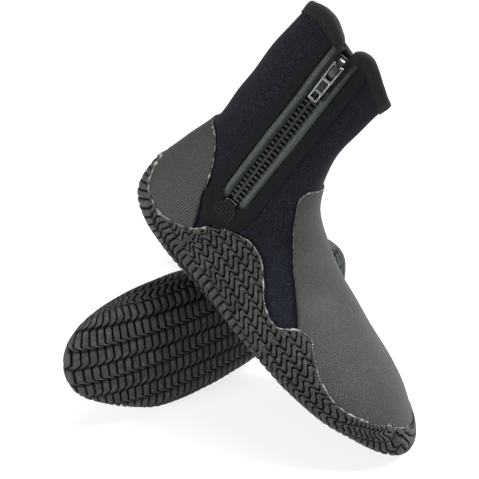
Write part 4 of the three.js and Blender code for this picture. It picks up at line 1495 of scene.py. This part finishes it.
class SoleChart:
    """The skin under and round the foot, laid out by distance along the sole and distance round it."""

    def __init__(self):
        origins, downs = [], []
        for turn in np.radians(np.arange(66, 0, -1.4)):
            origins.append(heel_pivot)
            downs.append([-math.sin(turn), -math.cos(turn)])
        for share in np.linspace(0, 1, 66):
            origins.append(heel_pivot * (1 - share) + toe_pivot * share)
            downs.append([0, -1])
        for turn in np.radians(np.arange(2, 88, 2)):
            origins.append(toe_pivot)
            downs.append([math.sin(turn), -math.cos(turn)])
        origins, downs = np.array(origins), np.array(downs)
        fan = np.radians(np.linspace(-fan_reach, fan_reach, 145))
        o = np.stack([origins[:, 0], np.zeros(len(origins)), origins[:, 1]], axis=1)[:, None]
        d = np.stack([downs[:, 0], np.zeros(len(downs)), downs[:, 1]], axis=1)[:, None]
        rays = d * np.cos(fan)[None, :, None] + np.array([0, 1, 0]) * np.sin(fan)[None, :, None]
        starts = np.broadcast_to(o, rays.shape)
        hits, normals, _ = skin.cast(starts.reshape(-1, 3), rays.reshape(-1, 3))
        hits, normals = hits.reshape(rays.shape), normals.reshape(rays.shape)
        middle = len(fan) // 2
        round_steps = np.linalg.norm(np.diff(hits, axis=1), axis=2)
        arcs = np.hstack([np.zeros((len(hits), 1)), np.cumsum(round_steps, axis=1)])
        arcs -= arcs[:, middle:middle + 1]
        self.round = np.arange(-round_reach, round_reach + 0.1, round_step)
        table_at = np.concatenate([hits, normals], axis=2)
        resampled = np.array([[np.interp(self.round, arcs[row], table_at[row, :, k]) for k in range(6)]
                              for row in range(len(hits))]).transpose(0, 2, 1)
        along = np.concatenate([[0], np.cumsum(np.linalg.norm(np.diff(hits[:, middle], axis=0), axis=1))])
        self.along = np.arange(0, along[-1], chart_step)
        places = np.interp(self.along, along, np.arange(len(along)))
        rows = eased(resampled.reshape(len(resampled), -1), places)
        self.table = rows.reshape(len(self.along), len(self.round), 6)
        height = above_sole(self.table[..., :3].reshape(-1, 3)).reshape(self.table.shape[:2])
        centre = len(self.round) // 2
        inside = height[:, centre] < 0
        self.first = self.along[np.argmax(inside)]
        self.last = self.along[len(inside) - 1 - np.argmax(inside[::-1])]
        self.inner_edge = np.array([self.crossing(row[centre::-1]) for row in height])
        self.outer_edge = np.array([self.crossing(row[centre:]) for row in height])

    def crossing(self, height):
        """How far round from the middle the sole's upper edge is met."""
        beyond = np.argmax(height > 0)
        if height[0] >= 0:
            return 0.0
        if beyond == 0:
            return (len(height) - 1) * round_step
        below, above = height[beyond - 1], height[beyond]
        return (beyond - 1 + below / (below - above)) * round_step

    def at(self, along, around):
        """Point and normal at any place of the chart."""
        u = np.clip(along / chart_step, 0, len(self.along) - 1.001)
        v = np.clip((around - self.round[0]) / round_step, 0, len(self.round) - 1.001)
        i, j = u.astype(int), v.astype(int)
        f, g = (u - i)[..., None], (v - j)[..., None]
        value = ((self.table[i, j] * (1 - f) + self.table[i + 1, j] * f) * (1 - g)
                 + (self.table[i, j + 1] * (1 - f) + self.table[i + 1, j + 1] * f) * g)
        return value[..., :3], unit(value[..., 3:])

    def edge(self, along, side):
        """How far round the sole reaches: side is -1 on the zip side and 1 on the outer side."""
        return np.interp(along, self.along, self.inner_edge if side < 0 else self.outer_edge)


chart = SoleChart()


def zig_phase(around):
    """Counts the zigzag's repeats round the sole: long ones underneath, short ones up the sides."""
    size = np.abs(around)
    count = np.minimum(size, flat_reach) / long_repeat + np.maximum(size - flat_reach, 0) / short_repeat
    return np.sign(around) * count + 0.5


def zig(around):
    """Sideways step of the ribs, in pitches.

    Underneath, the ribs step one way, run straight and step back. Up the sides they rise in a long arc and
    hook back.
    """
    phase = zig_phase(around) % 1
    short = np.clip((np.abs(around) - flat_reach) / 8, 0, 1)
    slope = np.clip((phase - 0.06) / (0.16 + 0.42 * short), 0, 1)
    arc = np.sin(slope * math.pi / 2)
    hook = np.clip((phase - 0.6 - 0.1 * short) / (0.07 + 0.08 * short), 0, 1)
    return slope * (1 - short) + arc * short - hook - 0.5


def zig_strength(along):
    """The zigzag fades out round the back of the heel and over the toe, where the ribs run straight."""
    return np.clip((along - chart.first - 38) / 14, 0, 1) * np.clip((chart.last - 10 - along) / 12, 0, 1)


# Across one rib: (share of the pitch, share of the groove's depth)
rib_columns = [(0.0, 1.0), (0.05, 0.92), (0.1, 0.3), (0.17, 0.08), (0.32, 0.0), (0.56, 0.0), (0.76, 0.1),
               (0.88, 0.34), (0.95, 0.92)]
rows_round = 156
nick_width = 0.05
uneven_depth = 0.18
uneven_wave = 30
uneven_seed = 5
lip_width = 2.5


def outsole_shape():
    """The moulded cup with its ribs, and the runs along its upper edges for the cement."""
    count = int((chart.last - chart.first) / rib_pitch)
    starts = chart.first + 1.0 + rib_pitch * np.arange(count + 1)
    along = np.array([start + part * rib_pitch for start in starts for part, _ in rib_columns])
    depth = np.array([cut_depth for _ in starts for _, cut_depth in rib_columns])
    keep = along < chart.last - 1
    along, depth = along[keep], depth[keep]

    def shifted(around, base=along):
        return base + zig(around) * zig_reach * rib_pitch * zig_strength(base)

    limits = {}
    for side in (-1, 1):
        reach = chart.edge(along, side)
        for _ in range(20):
            reach = 0.5 * reach + 0.5 * chart.edge(shifted(side * reach), side)
        limits[side] = np.maximum(reach, 1.0)
    share = np.linspace(0, 1, rows_round + 1)
    around = -limits[-1][:, None] * (1 - share) + limits[1][:, None] * share
    places = shifted(around, along[:, None])
    points, normals = chart.at(places, around)
    thickness = gap + sole_side + (sole_bottom - sole_side) * np.maximum(0, -normals[..., 2])
    phase = zig_phase(around) % 1
    short = np.clip((np.abs(around) - flat_reach + 2) / 6, 0, 1)
    notch = np.maximum((1 - short) * np.exp(-((phase - 0.18) / nick_width) ** 2),
                       np.exp(-((phase - 0.7) / nick_width) ** 2))
    fade = zig_strength(along)[:, None]
    to_edge = np.minimum(around + limits[-1][:, None], limits[1][:, None] - around)
    lip = np.clip(to_edge / lip_width, 0, 1)
    grooves = depth[:, None] * groove_depth * (0.45 + 0.55 * lip)
    nicks = nick_depth * notch * fade * (0.5 + 0.7 * short) * (1 - depth[:, None])
    uneven = uneven_depth * ripple(points, uneven_wave, uneven_seed)
    relief = -grooves - nicks + uneven
    outer = points + normals * (thickness + relief)[..., None]
    fold = []
    for place in (0, -1):
        run, out, edge_relief = points[:, place], normals[:, place], relief[:, place]
        up = unit(points[:, place] - points[:, 3 if place == 0 else -4])
        top = thickness[:, place] + edge_relief * 0.6
        fold.append([run + out * (top * 0.86)[:, None] + up * 0.45,
                     run + out * (top * 0.45)[:, None] + up * 0.75,
                     run + out * gap + up * 0.5])
    inner_share = np.linspace(0.03, 0.97, 22)
    inner_round = -limits[-1][:, None] * (1 - inner_share) + limits[1][:, None] * inner_share
    inner_points, inner_normals = chart.at(shifted(inner_round, along[:, None]), inner_round)
    inner = inner_points + inner_normals * gap
    outer_fold, inner_fold = np.stack(fold[1], axis=1), np.stack(fold[0][::-1], axis=1)
    loop = np.concatenate([outer, outer_fold, inner[:, ::-1], inner_fold], axis=1)
    # Painted shade for the rubber's finish: the grooves' depth, with the nicks, darkens them towards black
    groove_shade = np.zeros((len(along), loop.shape[1]))
    groove_shade[:, :rows_round + 1] = depth[:, None] + 0.6 * notch * fade
    vertices, faces = tube(loop)
    edges = {}
    for side, place in ((-1, 0), (1, -1)):
        edges[side] = (points[:, place] + normals[:, place] * (gap + 0.9), normals[:, place],
                       unit(points[:, place] - points[:, 3 if place == 0 else -4]))
    weave = np.hstack([vertices[:, :2], groove_shade.reshape(-1, 1)])
    return (vertices, faces, weave), edges


# ---------------------------------------------------------------- cement, stitches
cement_step = 0.8
heel_end, heel_fade = 75, 35
crumb_pitch = 0.0024
stitch_pitch = 0.0028


def cement_line(points, normals, radius, seed, patchy=0.5, lift=0.0, at_heel=1.0):
    """A squeezed-out line of cement along a bonded edge, thin in places; at_heel is how much fatter it
    gets round the heel."""
    points, normals = even(points, normals, cement_step)
    rng = np.random.default_rng(seed)
    count = len(points)
    spare, slow_spare = 12, 40
    rough = np.convolve(rng.normal(size=count + 2 * spare), np.hanning(9) / 4, "same")[spare:-spare]
    slow = np.convolve(rng.normal(size=count + 2 * slow_spare), np.hanning(35) / 6, "same")
    slow = slow[slow_spare:-slow_spare]
    size = radius * np.clip(1 - patchy + 0.55 * rough + patchy * 1.3 * slow + 0.2, 0.05, 1.7)
    size *= 1 + (at_heel - 1) * np.clip((heel_end - points[:, 0]) / heel_fade, 0, 1)
    size[[0, -1]] = 0.02
    tangents = unit(np.gradient(points, axis=0))
    sides_out = unit(np.cross(tangents, normals))
    turn = np.linspace(0, 2 * math.pi, 7, endpoint=False)
    rings = (points[:, None] + normals[:, None] * (lift + 0.75 * size[:, None] * np.sin(turn))[..., None]
             + sides_out[:, None] * (size[:, None] * np.cos(turn))[..., None])
    return tube(rings)


def edge_run(sheet, field, near=0.12):
    """The longest stretch of a sheet's border that lies on one of the lines it was cut along."""
    data, triangles = sheet
    best = []
    for loop in chains(border(triangles)):
        on = np.abs(field(data[loop, :3])) < near
        if on.all():
            run = loop
        else:
            start = int(np.argmin(on))
            turned, flags = loop[start:] + loop[:start], np.roll(on, -start)
            run, current = [], []
            for vertex, flag in zip(turned, flags):
                current = current + [vertex] if flag else []
                if len(current) > len(run):
                    run = current
        if len(run) > len(best):
            best = run
    return data[best, :3], data[best, 3:6]


def make_cement(heel, vamp, sole_edges):
    """Dried cement along the edges of the twill pieces and of the outsole, with crumbs beside it."""
    heel_points, heel_normals = edge_run(heel, lambda p: -side_of_line(p, heel_edge) - overlay_edge)
    vamp_points, vamp_normals = edge_run(vamp, lambda p: side_of_line(p, vamp_edge) - overlay_edge)
    on_edge = gap + 0.9
    lines = [cement_line(heel_points + heel_normals * on_edge, heel_normals, 0.6, 3, 0.45),
             cement_line(vamp_points + vamp_normals * on_edge, vamp_normals, 0.42, 9, 0.75)]
    for side, seed in ((-1, 21), (1, 22)):
        points, normals, up = sole_edges[side]
        lines.append(cement_line(points + up * 0.6 + normals * 0.8, normals, 0.62, seed, 0.8, -0.2, 3))
    vertices, faces = joined(*lines)
    both("cement_lines", (vertices, faces, vertices), dried_cement)
    crumb = pebble("cement_crumb", (0.0016, 0.0012, 0.0009))
    for side in sides:
        runs = []
        for end in (-1, 1):
            points, normals, up = sole_edges[end]
            laid, outs = run_in_place(side, *even(points + up * 0.8 + normals * 0.9, normals, 2))
            runs.append((laid, outs))
        piece = repeated(f"{side}_cement_crumbs", runs, crumb, crumb_pitch, dried_cement,
                         smallest=0.25, largest=1.15, spin=1.2, seed=4)
        fit_piece(piece, side)


def make_stitches(rim_parts, rim_reach):
    """Lock stitches round the collar tape, clear of its corners at the zip, and round the zip band."""
    stitch = pebble("stitch", (0.0021, 0.00055, 0.0005), 3, 6)
    clear = rim_reach > zip_corner_reach
    rim_run = [values[clear] for values in at_depth(rim_parts, seam_depth, 0.86)]
    tongue_run = []
    half, foot = facing_reach - stitch_inset, band_foot + stitch_inset
    middle, above = foot + half, 40
    for y in np.linspace(-16, middle, 80):
        tongue_run.append([half, y, above])
    for turn in np.linspace(0, math.pi, 40)[1:-1]:
        tongue_run.append([half * math.cos(turn), middle - half * math.sin(turn), above])
    for y in np.linspace(middle, -8, 80):
        tongue_run.append([-half, y, above])
    starts = from_zip(tongue_run)
    hits, normals, _ = skin.cast(starts, np.broadcast_to(-zip_out, starts.shape))
    allowed = below_rim(hits, -binding_height - 1) > 0
    band_run = (hits[allowed] + normals[allowed] * (gap + facing - 0.22), normals[allowed])
    for side in sides:
        runs = []
        for points, outs in (rim_run, band_run):
            runs.append(run_in_place(side, *even(points, outs, 1.4)))
        piece = repeated(f"{side}_stitches", runs, stitch, stitch_pitch, seam_thread,
                         smallest=0.92, largest=1.05, spin=0.05, seed=6)
        fit_piece(piece, side)


# ---------------------------------------------------------------- studio
def make_studio():
    """A pale floor, a white surround and three softboxes."""
    floor = bpy.data.meshes.new("studio_floor")
    reach = 6.0
    floor.from_pydata([(-reach, -reach, 0), (reach, -reach, 0), (reach, reach, 0), (-reach, reach, 0)], [],
                      [(0, 1, 2, 3)])
    paint = bpy.data.materials.new("pale_floor")
    paint.use_nodes = True
    shader = paint.node_tree.nodes["Principled BSDF"]
    shader.inputs["Base Color"].default_value = (0.22, 0.22, 0.22, 1)
    shader.inputs["Emission Color"].default_value = (1, 1, 1, 1)
    shader.inputs["Emission Strength"].default_value = 0.8
    shader.inputs["Roughness"].default_value = 0.9
    shader.inputs["Specular IOR Level"].default_value = 0.1
    floor.materials.append(paint)
    ground = bpy.data.objects.new("studio_floor", floor)
    bpy.context.scene.collection.objects.link(ground)
    world = bpy.data.worlds.new("studio_white")
    world.use_nodes = True
    world.node_tree.nodes["Background"].inputs["Color"].default_value = (1, 1, 1, 1)
    world.node_tree.nodes["Background"].inputs["Strength"].default_value = 0.36
    bpy.context.scene.world = world
    softboxes = (("top_softbox", (0.3, 0.3, 1.6), 1.0, 20), ("right_softbox", (1.1, 0, 1.3), 0.6, 62),
                 ("left_softbox", (-1.15, -0.8, 0.42), 0.5, 20))
    for name, place, size, power in softboxes:
        data = bpy.data.lights.new(name, "AREA")
        data.size = size
        data.energy = power
        lamp = bpy.data.objects.new(name, data)
        lamp.location = place
        lamp.rotation_euler = (Vector((0, 0, 0.12)) - Vector(place)).to_track_quat("-Z", "Y").to_euler()
        bpy.context.scene.collection.objects.link(lamp)
    bpy.context.scene.view_settings.view_transform = "Standard"


# ---------------------------------------------------------------- making the pair
make_panels()
make_bottom_panel()
make_seam_glue()
heel_sheet, vamp_sheet = make_overlays()
rim_parts, rim_reach = make_binding()
make_band()
make_patch()
make_flap()
make_tapes()
make_teeth()
make_slider_and_pull()
make_stops()
make_footbed()
sole_shape, sole_edges = outsole_shape()
both("outsole", sole_shape, moulded_rubber, ["outsole"])
make_cement(heel_sheet, vamp_sheet, sole_edges)
make_stitches(rim_parts, rim_reach)
make_studio()
